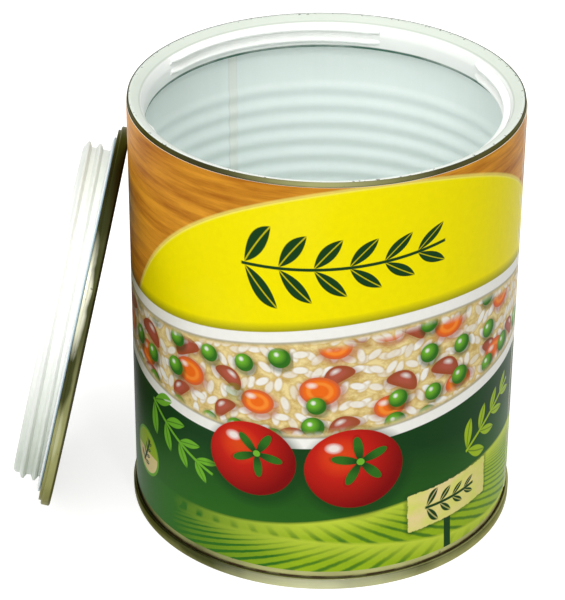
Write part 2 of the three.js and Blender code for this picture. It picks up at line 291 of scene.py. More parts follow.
class LabelColours(bpy.types.PropertyGroup):
    """Colours of the label's print."""

    yellow: colour("Yellow", "The label's upper field", 244, 229, 2)
    pale_yellow: colour("Pale yellow", "The edge of the upper field", 250, 240, 120)
    orange: colour("Orange", "The corners of the upper field", 226, 156, 46)
    brown: colour("Brown", "The dark grain in the corners", 142, 68, 12)
    ink_green: colour("Ink green", "The darkest green", 24, 62, 26)
    leaf_green: colour("Leaf green", "The green of the leaves and the lower field", 50, 108, 32)
    field_green: colour("Field green", "The light green of the furrows", 160, 190, 32)
    sun_green: colour("Sun green", "The field where the sun is on it", 208, 224, 70)
    pea: colour("Pea green", "The peas", 112, 178, 48)
    cream: colour("Cream", "The middle band", 236, 216, 154)
    sauce: colour("Sauce", "The darker parts of the middle band", 194, 158, 80)
    rim_shade: colour("Rim shade", "The inner edge of the band's rims", 170, 164, 140)
    white: colour("White", "The rims of the band and the paper", 244, 243, 236)
    red: colour("Red", "The tomatoes", 208, 38, 26)
    deep_red: colour("Deep red", "The tomatoes' shaded side", 128, 14, 16)
    carrot: colour("Carrot", "The carrot slices", 238, 108, 28)
    carrot_light: colour("Light carrot", "The rings of the carrot slices", 250, 158, 62)
    bean: colour("Bean", "The beans", 176, 88, 70)


class StageSettings(bpy.types.PropertyGroup):
    """The camera, the lamps and the floor."""

    distance: length("Distance", "Camera to the point that it looks at", 647.5)
    elevation: angle("Elevation", "Camera above the horizon", 29.85)
    azimuth: angle("Azimuth", "Camera to the right of the front", 1.82)
    roll: angle("Roll", "Turn of the camera about its line of sight", 0.32)
    aim: length("Aim height", "Height of the point that the camera looks at", 55.62)
    aim_left: length("Aim left", "The can's axis to the point that the camera looks at", 10.66)
    lens: FloatProperty(name="Lens", description="Focal length in millimetres", default=158.08, min=1)
    floor_size: length("Floor size", "Side of the square floor", 6000)
    floor_tone: share("Floor tone", "How pale the floor's own colour is", 0.6)
    floor_glow: share("Floor glow", "Light that the floor adds where it is seen directly", 0.72)
    room_light: share("Room light", "Strength of the white room's light on the object", 0.42)
    lamp_aim: length("Lamp aim", "Height of the point that the lamps face", 60)


class CanSafeSettings(bpy.types.PropertyGroup):
    """All the sizes, colours and marks of the can safe, and its stage."""

    can: PointerProperty(type=CanSizes)
    neck: PointerProperty(type=NeckSizes)
    lid: PointerProperty(type=LidSizes)
    finishes: PointerProperty(type=Finishes)
    marks: PointerProperty(type=Marks)
    label: PointerProperty(type=LabelColours)
    stage: PointerProperty(type=StageSettings)


class Layers:
    """Radii of the sheets folded into a seam, at the middle of each sheet, and the levels of the can."""

    def __init__(self, can):
        half = can.plate / 2
        step = can.layer_gap + can.plate
        self.wall = can.radius - half
        self.chuck = self.wall - step
        self.end_hook = self.wall + step
        self.body_hook = self.end_hook + step
        self.seam = self.body_hook + step
        self.bore = can.radius - can.plate
        self.hook_start = can.plate + can.layer_gap
        self.cut_edge = can.height - can.seam_height - can.cut_gap
        self.label_top = self.cut_edge - can.label_margin


class PlugPlaces:
    """Radii and depths of the lid's plug and its washer, from the lid's outer face."""

    def __init__(self, can, neck, lid):
        self.crest = neck.bore - lid.thread_fit
        self.root = self.crest - lid.thread_height
        self.bore = self.root - lid.wall
        self.top = can.groove_depth + can.plate
        self.washer_top = self.top + can.layer_gap
        self.washer_bottom = self.washer_top + lid.washer
        self.end = self.washer_bottom + lid.depth


# Modelling


def start_editing():
    """Open the active piece for editing with nothing selected."""
    bpy.ops.object.mode_set(mode="EDIT")
    bpy.ops.mesh.select_all(action="DESELECT")


def stop_editing():
    """Close the active piece."""
    bpy.ops.object.mode_set(mode="OBJECT")


def select_points(piece, test):
    """Select the points of the open piece that pass a test on their place."""
    bpy.ops.mesh.select_mode(type="VERT")
    bpy.ops.mesh.select_all(action="DESELECT")
    mesh = bmesh.from_edit_mesh(piece.data)
    for point in mesh.verts:
        point.select = test(point.co)
    mesh.select_flush_mode()
    bmesh.update_edit_mesh(piece.data)


def distance_from_axis(place):
    """The distance of a place from the Z axis."""
    return math.hypot(place.x, place.y)


def draw_outline(name, outline, closed):
    """Draw (radius, height, rounding) points as a chain by extruding one point, then round its corners."""
    bpy.ops.object.select_all(action="DESELECT")
    bpy.ops.mesh.primitive_plane_add(size=MM)
    piece = bpy.context.object
    piece.name = name
    piece.data.name = name
    bpy.ops.object.mode_set(mode="EDIT")
    bpy.ops.mesh.select_all(action="SELECT")
    bpy.ops.mesh.merge(type="CENTER")
    bpy.ops.mesh.select_all(action="SELECT")
    places = [Vector((radius, 0, height)) for radius, height, _ in outline]
    bpy.ops.transform.translate(value=places[0])
    for here, there in zip(places, places[1:]):
        bpy.ops.mesh.extrude_vertices_move(TRANSFORM_OT_translate={"value": there - here})
    if closed:
        ends = (places[0], places[-1])
        select_points(piece, lambda co: min((co - end).length for end in ends) < SAME_PLACE)
        bpy.ops.mesh.edge_face_add()
    round_corners(piece, outline)
    return piece


def round_corners(piece, outline):
    """Bevel the corners of the open chain, all those of one rounding at a time."""
    for size in sorted({rounding for radius, height, rounding in outline if rounding > 0}):
        places = [Vector((radius, 0, height)) for radius, height, rounding in outline if rounding == size]
        select_points(piece, lambda co: min((co - place).length for place in places) < SAME_PLACE)
        bpy.ops.mesh.bevel(offset=size, offset_type="OFFSET", segments=ROUND_STEPS, affect="VERTICES")


def spin_round(segments):
    """Turn the chain that is open for editing once round the Z axis and close the seam and the poles."""
    bpy.ops.mesh.select_all(action="SELECT")
    bpy.ops.mesh.spin(steps=segments, angle=FULL_TURN, center=(0, 0, 0), axis=(0, 0, 1))
    bpy.ops.mesh.select_all(action="SELECT")
    bpy.ops.mesh.remove_doubles(threshold=SAME_PLACE)
    bpy.ops.mesh.normals_make_consistent(inside=False)
    stop_editing()


def turned_solid(name, outline, closed, segments):
    """A solid turned from its outline."""
    piece = draw_outline(name, outline, closed)
    spin_round(segments)
    return piece


def apply_modifier(piece, kind, **settings):
    """Add a modifier to a piece and apply it."""
    modifier = piece.modifiers.new(kind.title(), kind)
    for name, value in settings.items():
        setattr(modifier, name, value)
    bpy.context.view_layer.objects.active = piece
    bpy.ops.object.modifier_apply(modifier=modifier.name)


def turned_sheet(name, line, thickness, segments, outer_point, materials):
    """A sheet turned from the line along its middle. At outer_point its outer face looks outwards."""
    piece = draw_outline(name, line, closed=False)
    spin_round(segments)
    face_outwards(piece, outer_point)
    dress(piece, materials)
    thicken(piece, thickness)
    return piece


def face_outwards(piece, outer_point):
    """Flip a turned surface if its face nearest to that (radius, height) on the X side looks at the axis."""
    radius, height = outer_point
    place = Vector((radius, 0, height))
    nearest = min(piece.data.polygons, key=lambda face: (face.center - place).length)
    if nearest.normal.x < 0:
        start_editing()
        bpy.ops.mesh.select_all(action="SELECT")
        bpy.ops.mesh.flip_normals()
        stop_editing()


def thicken(piece, thickness):
    """Thicken a surface to both sides. Its second material is inside and its third on its edge."""
    apply_modifier(
        piece,
        "SOLIDIFY",
        thickness=thickness,
        offset=0,
        use_even_offset=True,
        material_offset=1,
        material_offset_rim=2,
    )


def ridge_outline(lid, root, crest):
    """The closed outline of a thread's ridge at height 0."""
    foot = root + math.copysign(lid.bite, root - crest)
    return [
        (foot, -lid.root_width / 2, 0),
        (crest, -lid.crest_width / 2, lid.crest_round),
        (crest, lid.crest_width / 2, lid.crest_round),
        (foot, lid.root_width / 2, 0),
    ]


def thread_ridge(name, lid, root, crest, start, arc, height_at_zero):
    """One stretch of thread: the ridge's outline screwed round the Z axis and closed at both ends."""
    piece = draw_outline(name, ridge_outline(lid, root, crest), closed=True)
    stop_editing()
    steps = round(arc / RIDGE_STEP)
    apply_modifier(
        piece,
        "SCREW",
        axis="Z",
        angle=arc,
        screw_offset=lid.pitch * arc / FULL_TURN,
        steps=steps,
        render_steps=steps,
        use_merge_vertices=False,
        use_smooth_shade=False,
    )
    lower_ridge_ends(piece, lid, root, crest, arc, steps)
    start_editing()
    bpy.ops.mesh.select_all(action="SELECT")
    bpy.ops.mesh.fill_holes(sides=0)
    bpy.ops.mesh.select_all(action="SELECT")
    bpy.ops.mesh.normals_make_consistent(inside=False)
    stop_editing()
    piece.rotation_euler.z = start
    piece.location.z = height_at_zero + lid.pitch * start / FULL_TURN
    set_in_place(piece)
    return piece


def lower_ridge_ends(piece, lid, root, crest, arc, steps):
    """Bring the crest closer to the root at the first and last two rings of a ridge."""
    step = arc / steps
    for ring in (0, 1, steps - 1, steps):
        from_end = min(ring, steps - ring)
        part = lid.end_height if from_end == 0 else (1 + lid.end_height) / 2
        scale = (root + (crest - root) * part) / crest
        turn = ring * step
        rise = lid.pitch * turn / FULL_TURN
        start_editing()
        select_points(piece, lambda co: on_crest_ring(co, crest, turn, rise, lid))
        bpy.ops.transform.resize(value=(scale, scale, 1), center_override=(0, 0, 0))
        stop_editing()


def on_crest_ring(place, crest, turn, rise, lid):
    """Whether a place is on the crest of the ridge's ring at that turn and rise."""
    away = math.remainder(math.atan2(place.y, place.x) - turn, FULL_TURN)
    near_crest = abs(distance_from_axis(place) - crest) < 2 * lid.crest_round
    return near_crest and abs(away) < SAME_TURN and abs(place.z - rise) < lid.pitch / 2


def set_in_place(piece):
    """Move an object's place, turn and scale into its mesh."""
    bpy.ops.object.select_all(action="DESELECT")
    piece.select_set(True)
    bpy.context.view_layer.objects.active = piece
    bpy.ops.object.transform_apply(location=True, rotation=True, scale=True)


def unite(piece, others):
    """Unite other solids with a piece."""
    for other in others:
        apply_modifier(piece, "BOOLEAN", operation="UNION", solver="EXACT", object=other)
        bpy.data.objects.remove(other)


def shade(piece):
    """Shade a piece smoothly, apart from its sharp edges."""
    bpy.ops.object.select_all(action="DESELECT")
    piece.select_set(True)
    bpy.context.view_layer.objects.active = piece
    bpy.ops.object.shade_smooth_by_angle(angle=SMOOTH_BELOW)


def stand_on_axis(piece):
    """Bring a piece of the can, modelled round the Z axis, to the can's place."""
    piece.location = CAN_AXIS
    set_in_place(piece)


def lean(piece):
    """Bring a piece of the closed lid, modelled round the Z axis, to its leaning place."""
    to_pivot = Matrix.Translation(PIVOT)
    swing = Matrix.Rotation(-SWING_ANGLE, 4, Vector(SWING["axis"]))
    piece.matrix_world = to_pivot @ swing @ to_pivot.inverted() @ Matrix.Translation(CAN_AXIS)
    set_in_place(piece)


def dress(piece, materials):
    """Give a piece its materials: outer face, inner face and edge, or one for all of it."""
    for material in materials:
        piece.data.materials.append(material)


def hand_over(piece, node, body):
    """Bring a piece to its place, shade it smoothly, hide the node that it replaces and attach it to its
    body.
    """
    if body == "can":
        stand_on_axis(piece)
    else:
        lean(piece)
    shade(piece)
    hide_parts(node)
    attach(piece, body)


# Outlines


def end_line(can, layers, seam_height):
    """The line along the middle of a can end's sheet, as (radius, depth, rounding) from the axis out."""
    half = can.plate / 2
    groove_inner = layers.chuck - half - can.groove_width
    panel = can.groove_depth - can.panel_rise + half
    groove = can.groove_depth + half
    ring_outer = can.ring_radius + can.ring_width / 2
    ring_inner = can.ring_radius - can.ring_width / 2
    soft = can.pressed_slope / 2
    return [
        (0, panel, 0),
        (ring_inner, panel, soft),
        (ring_inner + can.pressed_slope, panel + can.ring_depth, soft),
        (ring_outer - can.pressed_slope, panel + can.ring_depth, soft),
        (ring_outer, panel, soft),
        (groove_inner - can.pressed_slope, panel, soft),
        (groove_inner, groove, soft),
        (layers.chuck, groove, 2 * soft),
        (layers.chuck, half, can.fold),
        (layers.seam, half, can.fold),
        (layers.seam, seam_height - half, can.fold),
        (layers.end_hook, seam_height - half, can.fold),
        (layers.end_hook, can.hook_shorter - can.plate, 0),
    ]


def body_hook_line(can, layers, seam_height):
    """The line along the middle of the body's edge, folded into a seam, as (radius, depth, rounding)."""
    fold_depth = layers.hook_start + can.plate / 2
    return [
        (layers.body_hook, layers.hook_start + seam_height - can.hook_shorter, 0),
        (layers.body_hook, fold_depth, can.fold),
        (layers.wall, fold_depth, can.fold),
    ]


def bead_line(can, layers):
    """The line along the middle of the beaded wall, as (radius, height, rounding) from the bottom up."""
    highest = can.height - can.top_bead
    lowest = highest - can.bead_pitch * (can.bead_count - 1)
    line = []
    for point in range(can.bead_count * can.bead_points + 1):
        along = point / can.bead_points
        depth = can.bead_depth * (1 - math.cos(FULL_TURN * along)) / 2
        line.append((layers.wall - depth, lowest + can.bead_pitch * (along - 0.5), 0))
    return line


def compound_outline(can, layers, seam_height):
    """The closed outline of the sealing compound past the end of the body's hook."""
    half = can.plate / 2
    top = layers.hook_start + seam_height - can.hook_shorter + can.layer_gap
    bottom = seam_height - can.plate - can.layer_gap
    inner = layers.body_hook - half
    outer = layers.body_hook + half
    soft = can.plate / 4
    return [(inner, top, soft), (outer, top, soft), (outer, bottom, soft), (inner, bottom, soft)]


def from_top(can, line):
    """Turn depths below the closed lid's outer face into heights."""
    return [(radius, can.height - depth, rounding) for radius, depth, rounding in line]


def neck_outline(can, layers, neck):
    """The closed outline of the neck ring, as (radius, height, rounding)."""
    skirt_outer = layers.bore - can.layer_gap
    skirt_inner = skirt_outer - neck.skirt_wall
    mouth_top = layers.cut_edge - neck.flange_drop
    bottom = layers.cut_edge - neck.height
    return [
        (skirt_outer, layers.cut_edge, neck.edge_round),
        (skirt_outer - neck.flange_rim, layers.cut_edge, neck.rim_round),
        (neck.bore + neck.lead_in_depth, mouth_top, neck.mouth_round),
        (neck.bore, mouth_top - neck.lead_in, neck.bore_round),
        (neck.bore, bottom, neck.end_round),
        (neck.bore + neck.wall, bottom, neck.end_round),
        (neck.bore + neck.wall, mouth_top - neck.wall, neck.rim_round),
        (skirt_inner, layers.cut_edge - neck.wall, neck.rim_round),
        (skirt_inner, layers.cut_edge - neck.skirt_height, neck.edge_round),
        (skirt_outer, layers.cut_edge - neck.skirt_height, neck.edge_round),
    ]


def plug_outline(lid, places):
    """The outline of the plug from the axis round to the axis, as (radius, depth, rounding)."""
    floor = places.top + lid.floor
    return [
        (0, places.top, 0),
        (places.root, places.top, lid.edge_round),
        (places.root, places.end - lid.end_bevel, lid.edge_round),
        (places.root - lid.end_bevel, places.end, lid.edge_round),
        (places.bore, places.end, lid.mouth_round),
        (places.bore, floor, lid.floor_round),
        (0, floor, 0),
    ]


def washer_outline(lid, places, fit):
    """The closed outline of the washer, which clears the plug by fit, as (radius, depth, rounding)."""
    inner = places.root + fit
    outer = inner + lid.washer_width
    return [
        (inner, places.washer_top, lid.washer_edge),
        (outer, places.washer_top, lid.washer_edge),
        (outer, places.washer_top + lid.washer / 2, lid.bevel_round),
        (outer - lid.washer_bevel, places.washer_bottom, lid.bevel_round),
        (inner, places.washer_bottom, lid.washer_edge),
    ]


# Shader maths


class Wire:
    """An output of a shader node. Sums on wires add Math nodes."""

    def __init__(self, recipe, socket):
        self.recipe = recipe
        self.socket = socket

    def maths(self, operation, *values):
        """A Math node of that operation on these values."""
        return self.recipe.node("ShaderNodeMath", {"operation": operation}, dict(enumerate(values)))

    def __add__(self, other):
        return self.maths("ADD", self, other)

    def __sub__(self, other):
        return self.maths("SUBTRACT", self, other)

    def __rsub__(self, other):
        return self.maths("SUBTRACT", other, self)

    def __mul__(self, other):
        return self.maths("MULTIPLY", self, other)

    def __truediv__(self, other):
        return self.maths("DIVIDE", self, other)

    def __pow__(self, other):
        return self.maths("POWER", self, other)

    __radd__ = __add__
    __rmul__ = __mul__

    def size(self):
        """Its value without its sign."""
        return self.maths("ABSOLUTE", self)

    def sine(self):
        """The sine of it."""
        return self.maths("SINE", self)

    def lower(self, other):
        """The lower of it and another value."""
        return self.maths("MINIMUM", self, other)

    def higher(self, other):
        """The higher of it and another value."""
        return self.maths("MAXIMUM", self, other)

    def part(self):
        """What is left of it above its whole number."""
        return self.maths("FRACT", self)

    def kept(self):
        """It, kept between 0 and 1."""
        return self.recipe.node("ShaderNodeMath", {"operation": "ADD", "use_clamp": True}, {0: self, 1: 0})

    def above(self, level, blur):
        """1 where it is above a level, 0 where it is below, with a ramp of that width between."""
        ends = {"Value": self, "From Min": level - blur / 2, "From Max": level + blur / 2}
        return self.recipe.node("ShaderNodeMapRange", {}, ends)

    def below(self, level, blur):
        """1 where it is below a level, 0 where it is above, with a ramp of that width between."""
        return 1 - self.above(level, blur)

    def near(self, middle, half, blur):
        """1 where it is nearer than half to a middle, with a ramp of that width on both sides."""
        return (self - middle).size().below(half, blur)


class Recipe:
    """The node tree of a material or of the world, and the calls that fill it."""

    def __init__(self, owner):
        owner.use_nodes = True
        self.owner = owner
        self.tree = owner.node_tree

    def wires(self, kind, settings, inputs, *outputs):
        """Add a node of a kind with its settings, then feed its sockets. Gives its outputs as wires."""
        node = self.tree.nodes.new(kind)
        for name, value in settings.items():
            setattr(node, name, value)
        for socket, value in inputs.items():
            self.feed(node.inputs[socket], value)
        return [Wire(self, node.outputs[output]) for output in outputs]

    def node(self, kind, settings, inputs, output=0):
        """Add a node and give one of its outputs."""
        return self.wires(kind, settings, inputs, output)[0]

    def feed(self, socket, value):
        """Link a wire to a socket or set the socket's own value."""
        if isinstance(value, Wire):
            self.tree.links.new(value.socket, socket)
        elif socket.type == "RGBA":
            socket.default_value = (*value, 1)
        else:
            socket.default_value = value

    def finish(self, shader="Principled BSDF", **sockets):
        """Feed the sockets of the tree's shader, named with _ for a space, and give the tree's owner."""
        node = self.tree.nodes[shader]
        for name, value in sockets.items():
            self.feed(node.inputs[name.replace("_", " ")], value)
        return self.owner

    def mix(self, factor, first, second):
        """Mix two colours."""
        inputs = {0: factor, 6: first, 7: second}
        return self.node("ShaderNodeMix", {"data_type": "RGBA"}, inputs, output=2)

    def noise(self, place, scale, detail=3, roughness=0.5):
        """A cloudy number from 0 to 1."""
        inputs = {"Vector": place, "Scale": scale, "Detail": detail, "Roughness": roughness}
        return self.node("ShaderNodeTexNoise", {}, inputs)

    def stretched(self, place, scale):
        """A place with each direction scaled by its own number."""
        return self.node("ShaderNodeVectorMath", {"operation": "MULTIPLY"}, {0: place, 1: scale})

    def bump(self, height, distance):
        """A bumped normal."""
        return self.node("ShaderNodeBump", {}, {"Height": height, "Distance": distance})

    def can_place(self):
        """The place on a piece of the can, from the foot of the can's axis."""
        seen = self.node("ShaderNodeTexCoord", {}, {}, "Object")
        return self.node("ShaderNodeMapping", {}, {"Vector": seen, "Location": -CAN_AXIS})

    def lid_place(self):
        """The place on a piece of the lid, as if the lid were closed, from the foot of the can's axis."""
        seen = self.node("ShaderNodeTexCoord", {}, {}, "Object")
        back = Matrix.Rotation(SWING_ANGLE, 4, Vector(SWING["axis"]))
        shift = PIVOT - back @ PIVOT - CAN_AXIS
        inputs = {"Vector": seen, "Location": shift, "Rotation": back.to_euler()}
        return self.node("ShaderNodeMapping", {}, inputs)

    def along(self, place):
        """The X, Y and Z of a place."""
        return self.wires("ShaderNodeSeparateXYZ", {}, {0: place}, 0, 1, 2)

    def seen_directly(self):
        """1 for rays from the camera and for those that gloss or glass sends on."""
        rays = ("Is Camera Ray", "Is Glossy Ray", "Is Transmission Ray")
        from_camera, from_gloss, from_glass = self.wires("ShaderNodeLightPath", {}, {}, *rays)
        return from_camera.higher(from_gloss).higher(from_glass)


def new_recipe(name):
    """A recipe for a new material."""
    return Recipe(bpy.data.materials.new(name))


def away_from(x, y):
    """The distance of a place from the point it is seen from."""
    squares = x * x + y * y
    return squares.maths("SQRT", squares)


def round_and_up(recipe, place):
    """The turn of a place round the axis, its distance from it and its height."""
    x, y, z = recipe.along(place)
    return x.maths("ARCTAN2", y, x), away_from(x, y), z


# Finishes


def bare_tinplate(name, settings, on_lid):
    """Bare tinplate: olive metal with fine rolling lines round it, stains, painted shade and painted
    highlights, and rust in its crevices.
    """
    finishes = settings.finishes
    recipe = new_recipe(name)
    place = recipe.lid_place() if on_lid else recipe.can_place()
    lines = recipe.noise(recipe.stretched(place, (60, 60, 4000)), 1, detail=4, roughness=0.6)
    clouds = recipe.noise(place, 45, detail=4, roughness=0.55)
    fine = recipe.noise(place, 1400, detail=2)
    specks = recipe.noise(place, 620, detail=2).above(0.735, 0.02)
    # Random stains; the wear below adds painted shade to them.
    stain_and_shade = clouds.above(0.54, 0.3) * 0.6 + (lines - 0.5) * 0.6
    wear = lid_wear if on_lid else can_wear
    # The wear gives random stains with painted shade, painted highlights, rust, and painted shade in a dark
    # colour.
    stain_and_shade, bright, rust, shade_and_flecks = wear(recipe, settings.marks, place, stain_and_shade, specks)
    tone = recipe.mix(stain_and_shade.kept(), finishes.tinplate, finishes.tinplate_shade)
    tone = recipe.mix(bright, tone, finishes.highlight_tone)
    tone = recipe.mix(rust, tone, finishes.rust)
    tone = recipe.mix(shade_and_flecks, tone, finishes.shade_and_flecks)
    return recipe.finish(
        Base_Color=tone,
        Metallic=1 - rust * 0.85,
        Specular_Tint=finishes.grazed,
        Roughness=lines * 0.14 + clouds * 0.1 + rust * 0.35 + 0.24,
        Normal=recipe.bump(lines * 0.6 + fine * 0.25 + clouds * 0.9, 0.012 * MM),
    )


def can_wear(recipe, marks, place, stain_and_shade, specks):
    """How stained and rusty the can's bare metal is, with painted light: a painted highlight on the front of
    the bottom seam, the front painted lighter, a stretch on the left painted darker, the bottom seam darker
    towards its top, and painted shade on the strip below the cut edge, lighter at the front.
    """
    turn, away, height = round_and_up(recipe, place)
    low = height.below(marks.seam_top, 0.2 * MM)
    # Painted light: the front stretch is painted lighter and gets a painted highlight low on the seam; the
    # stretch on the left is painted darker.
    front = turn.near(marks.front, marks.front_half, marks.fade)
    darkened = turn.near(marks.darkened, marks.darkened_half, marks.fade)
    # The bottom seam is painted darker towards its top.
    upwards = height * (0.19 / MM) + 0.1 - front * 0.1
    stain_and_shade = stain_and_shade * 0.7 + low * upwards - front * 0.08 + darkened * 0.4
    rust_line = height.near(marks.rust_level, marks.rust_half, 0.3 * MM)
    tucked = away.below(marks.rust_reach, 0.1 * MM)
    broken = recipe.noise(place, 260, detail=3).above(0.36, 0.3)
    rust = (rust_line * tucked * broken).kept().higher(specks * 0.7)
    # Painted shade on the bare strip below the cut edge, less at the front.
    shade_and_flecks = height.above(marks.cut_shade_level, 0.3 * MM) * (0.84 - front * 0.6)
    return stain_and_shade, low * front * 0.3, rust, shade_and_flecks


def lid_wear(recipe, marks, place, stain_and_shade, specks):
    """How stained and rusty the lid's bare metal is, with painted light: painted shade that darkens it
    towards its upper end, painted highlights and a painted dark reflection along its seam, and painted shade
    at its upper end and along its outer face's edge. Its -X side is up as it leans.
    """
    across, _, up = recipe.along(place)
    unevenness = recipe.noise(place, 160, detail=2) * 0.7 - 0.35
    # Painted highlights and a painted dark reflection along the lid's seam.
    dark_reflection = seam_streak(across, up, unevenness, middle=-10, reach=11, level=116.4, half=1.6)
    long_highlight = seam_streak(across, up, unevenness, middle=-28, reach=14, level=116.2, half=1.7)
    short_highlight = seam_streak(across, up, unevenness, middle=6, reach=10, level=117, half=0.8)
    # Painted shade: the lid darkens towards its upper end.
    downwards = (across / (55 * MM) + 0.91).kept()
    painted_shade = 0.95 - downwards * downwards * 0.6 + dark_reflection * 0.5
    # Painted shade at the lid's upper end and along the edge of its outer face.
    upper_end = across.below(-marks.lid_top, 5 * MM) * 0.6
    shade_and_flecks = upper_end.higher(up.above(marks.face_shade_level, 0.3 * MM) * 0.85)
    return stain_and_shade * 0.4 + painted_shade, long_highlight + short_highlight * 0.18, specks * 0.5, shade_and_flecks


def seam_streak(across, up, unevenness, middle, reach, level, half):
    """A long soft spot on the lid's seam, used for the painted highlights and the painted dark reflection:
    its middle and reach across, its level and half height, in mm.
    """
    along = (across - middle * MM) / (reach * MM)
    aside = (up - level * MM) / (half * MM) + unevenness
    return (1 - away_from(along, aside)).above(0.3, 0.5)


def inside_lacquer(name, settings):
    """The pale lacquer inside the can, with the beige stripe over the side seam."""
    finishes = settings.finishes
    marks = settings.marks
    recipe = new_recipe(name)
    place = recipe.can_place()
    turn, away, _ = round_and_up(recipe, place)
    upright = recipe.noise(recipe.stretched(place, (900, 900, 14)), 1, detail=3, roughness=0.6)
    clouds = recipe.noise(place, 60, detail=3)
    thin = (upright * 0.55 + clouds * 0.45).above(0.5, 0.5)
    from_weld = (turn - marks.weld).size() * away
    on_wall = away.above(marks.weld_radius, 0.1 * MM)
    stripe = from_weld.below(marks.weld_half, 0.5 * MM) * on_wall
    lines = from_weld.near(marks.weld_half, marks.weld_line, 0.2 * MM) * on_wall
    tone = recipe.mix(thin, finishes.lacquer, finishes.lacquer_shade)
    tone = recipe.mix(stripe * (upright * 0.3 + 0.15), tone, finishes.weld)
    tone = recipe.mix(lines * 0.06, tone, finishes.tinplate_shade)
    peel = recipe.noise(place, 1100, detail=2)
    return recipe.finish(
        Base_Color=tone,
        Roughness=upright * 0.1 + stripe * 0.1 + 0.36,
        Coat_Weight=0.25 - stripe * 0.2,
        Normal=recipe.bump(upright * 0.3 + peel * 0.5 + stripe * 2.5, 0.02 * MM),
    )


def plastic_wear(recipe, place):
    """How worn moulded plastic is, with flow marks and scuffs on what stands out, and its fine grain."""
    clouds = recipe.noise(place, 70, detail=4, roughness=0.6)
    grain = recipe.noise(place, 2600, detail=2)
    scuffs = recipe.noise(recipe.stretched(place, (300, 300, 2600)), 1, detail=4, roughness=0.7)
    worn = clouds.above(0.5, 0.4) * 0.5 + scuffs.above(0.62, 0.16) * 0.35
    return worn, grain


def neck_plastic(name, settings):
    """The neck ring's plastic: a flange greyed by scuffs and painted shade and painted lighter at the front,
    dark flecks at its edge, a painted shade line in the mouth's crease, and a painted green-grey shade line
    at the bottom of the sleeve.
    """
    finishes = settings.finishes
    marks = settings.marks
    recipe = new_recipe(name)
    place = recipe.can_place()
    turn, away, height = round_and_up(recipe, place)
    worn, grain = plastic_wear(recipe, place)
    # Painted shade: the flange is painted grey, lighter at the front as painted light.
    flange = away.above(marks.flange_radius, 0.3 * MM) * height.above(marks.flange_level, 0.6 * MM)
    front = turn.near(marks.front, marks.flange_front, marks.flange_front)
    # Painted shade: a thin dark line in the crease at the mouth.
    crease_shade = away.near(marks.crease_radius, marks.crease_half, 0.25 * MM)
    crease_shade = crease_shade * height.above(marks.crease_level, MM)
    # Painted shade: a green-grey line at the bottom of the sleeve.
    gap_shade = height.below(marks.gap_shade_level, 0.3 * MM) * away.below(marks.gap_shade_radius, 0.4 * MM)
    flecks = recipe.noise(place, 900, detail=2).above(0.64, 0.03)
    flecks = flecks * away.above(marks.fleck_radius, 0.4 * MM)
    scuffed_and_shaded = (worn * 0.2 + flange * (0.85 - front * 0.4)).kept()
    tone = recipe.mix(scuffed_and_shaded, finishes.plastic, finishes.plastic_shade)
    tone = recipe.mix(crease_shade * 0.3, tone, finishes.compound)
    tone = recipe.mix((gap_shade * (worn + 0.65)).kept(), tone, finishes.gap_shade_green)
    tone = recipe.mix(flecks * 0.8, tone, finishes.shade_and_flecks)
    return recipe.finish(
        Base_Color=tone,
        Roughness=worn * 0.18 + grain * 0.08 + flange * 0.08 + 0.34,
        Specular_IOR_Level=0.45,
        Normal=recipe.bump(grain * 0.4 + worn * 0.6 - flecks * 2, 0.02 * MM),
    )


def plug_plastic(name, settings):
    """The plug's plastic, with faint rings from turning and handling, and both ends painted darker as painted
    shade.
    """
    finishes = settings.finishes
    marks = settings.marks
    recipe = new_recipe(name)
    place = recipe.lid_place()
    worn, grain = plastic_wear(recipe, place)
    rings = recipe.noise(recipe.stretched(place, (40, 40, 3000)), 1, detail=3, roughness=0.6)
    across = recipe.along(place)[0]
    # Painted shade: both ends of the plug are painted darker.
    lower_end = across.above(marks.plug_low, 40 * MM)
    upper_end = across.below(-marks.plug_top, 9 * MM)
    darkened = (worn * 0.3 + rings * 0.1 + lower_end * 0.8 + upper_end * 0.5).kept()
    return recipe.finish(
        Base_Color=recipe.mix(darkened, finishes.plastic, finishes.plastic_shade),
        Roughness=worn * 0.16 + grain * 0.08 + 0.36,
        Specular_IOR_Level=0.45,
        Normal=recipe.bump(grain * 0.4 + worn * 0.5 + rings * 0.4, 0.02 * MM),
    )


def washer_foam(name, settings):
    """Closed-cell foam: a blue-grey skin with small pits."""
    finishes = settings.finishes
    recipe = new_recipe(name)
    place = recipe.lid_place()
    cells = recipe.node("ShaderNodeTexVoronoi", {}, {"Vector": place, "Scale": 3200})
    clouds = recipe.noise(place, 180, detail=3)
    edge = recipe.along(place)[2].above(settings.marks.foam_edge, 0.2 * MM)
    foam = (edge * 0.9 + clouds * 0.2 - cells.below(0.3, 0.3) * 0.2).kept()
    return recipe.finish(
        Base_Color=recipe.mix(foam, finishes.plastic, finishes.washer),
        Roughness=clouds * 0.15 + 0.68,
        Normal=recipe.bump(cells + clouds * 0.5, 0.03 * MM),
    )


def sealing_compound(name, settings, on_lid):
    """Rubbery compound with a matt skin and small bubbles."""
    finishes = settings.finishes
    recipe = new_recipe(name)
    place = recipe.lid_place() if on_lid else recipe.can_place()
    bubbles = recipe.node("ShaderNodeTexVoronoi", {}, {"Vector": place, "Scale": 4200})
    clouds = recipe.noise(place, 300, detail=3)
    return recipe.finish(
        Base_Color=recipe.mix(clouds.above(0.5, 0.5) * 0.6, finishes.compound, finishes.lacquer_shade),
        Roughness=clouds * 0.2 + 0.6,
        Normal=recipe.bump(bubbles + clouds * 0.4, 0.02 * MM),
    )


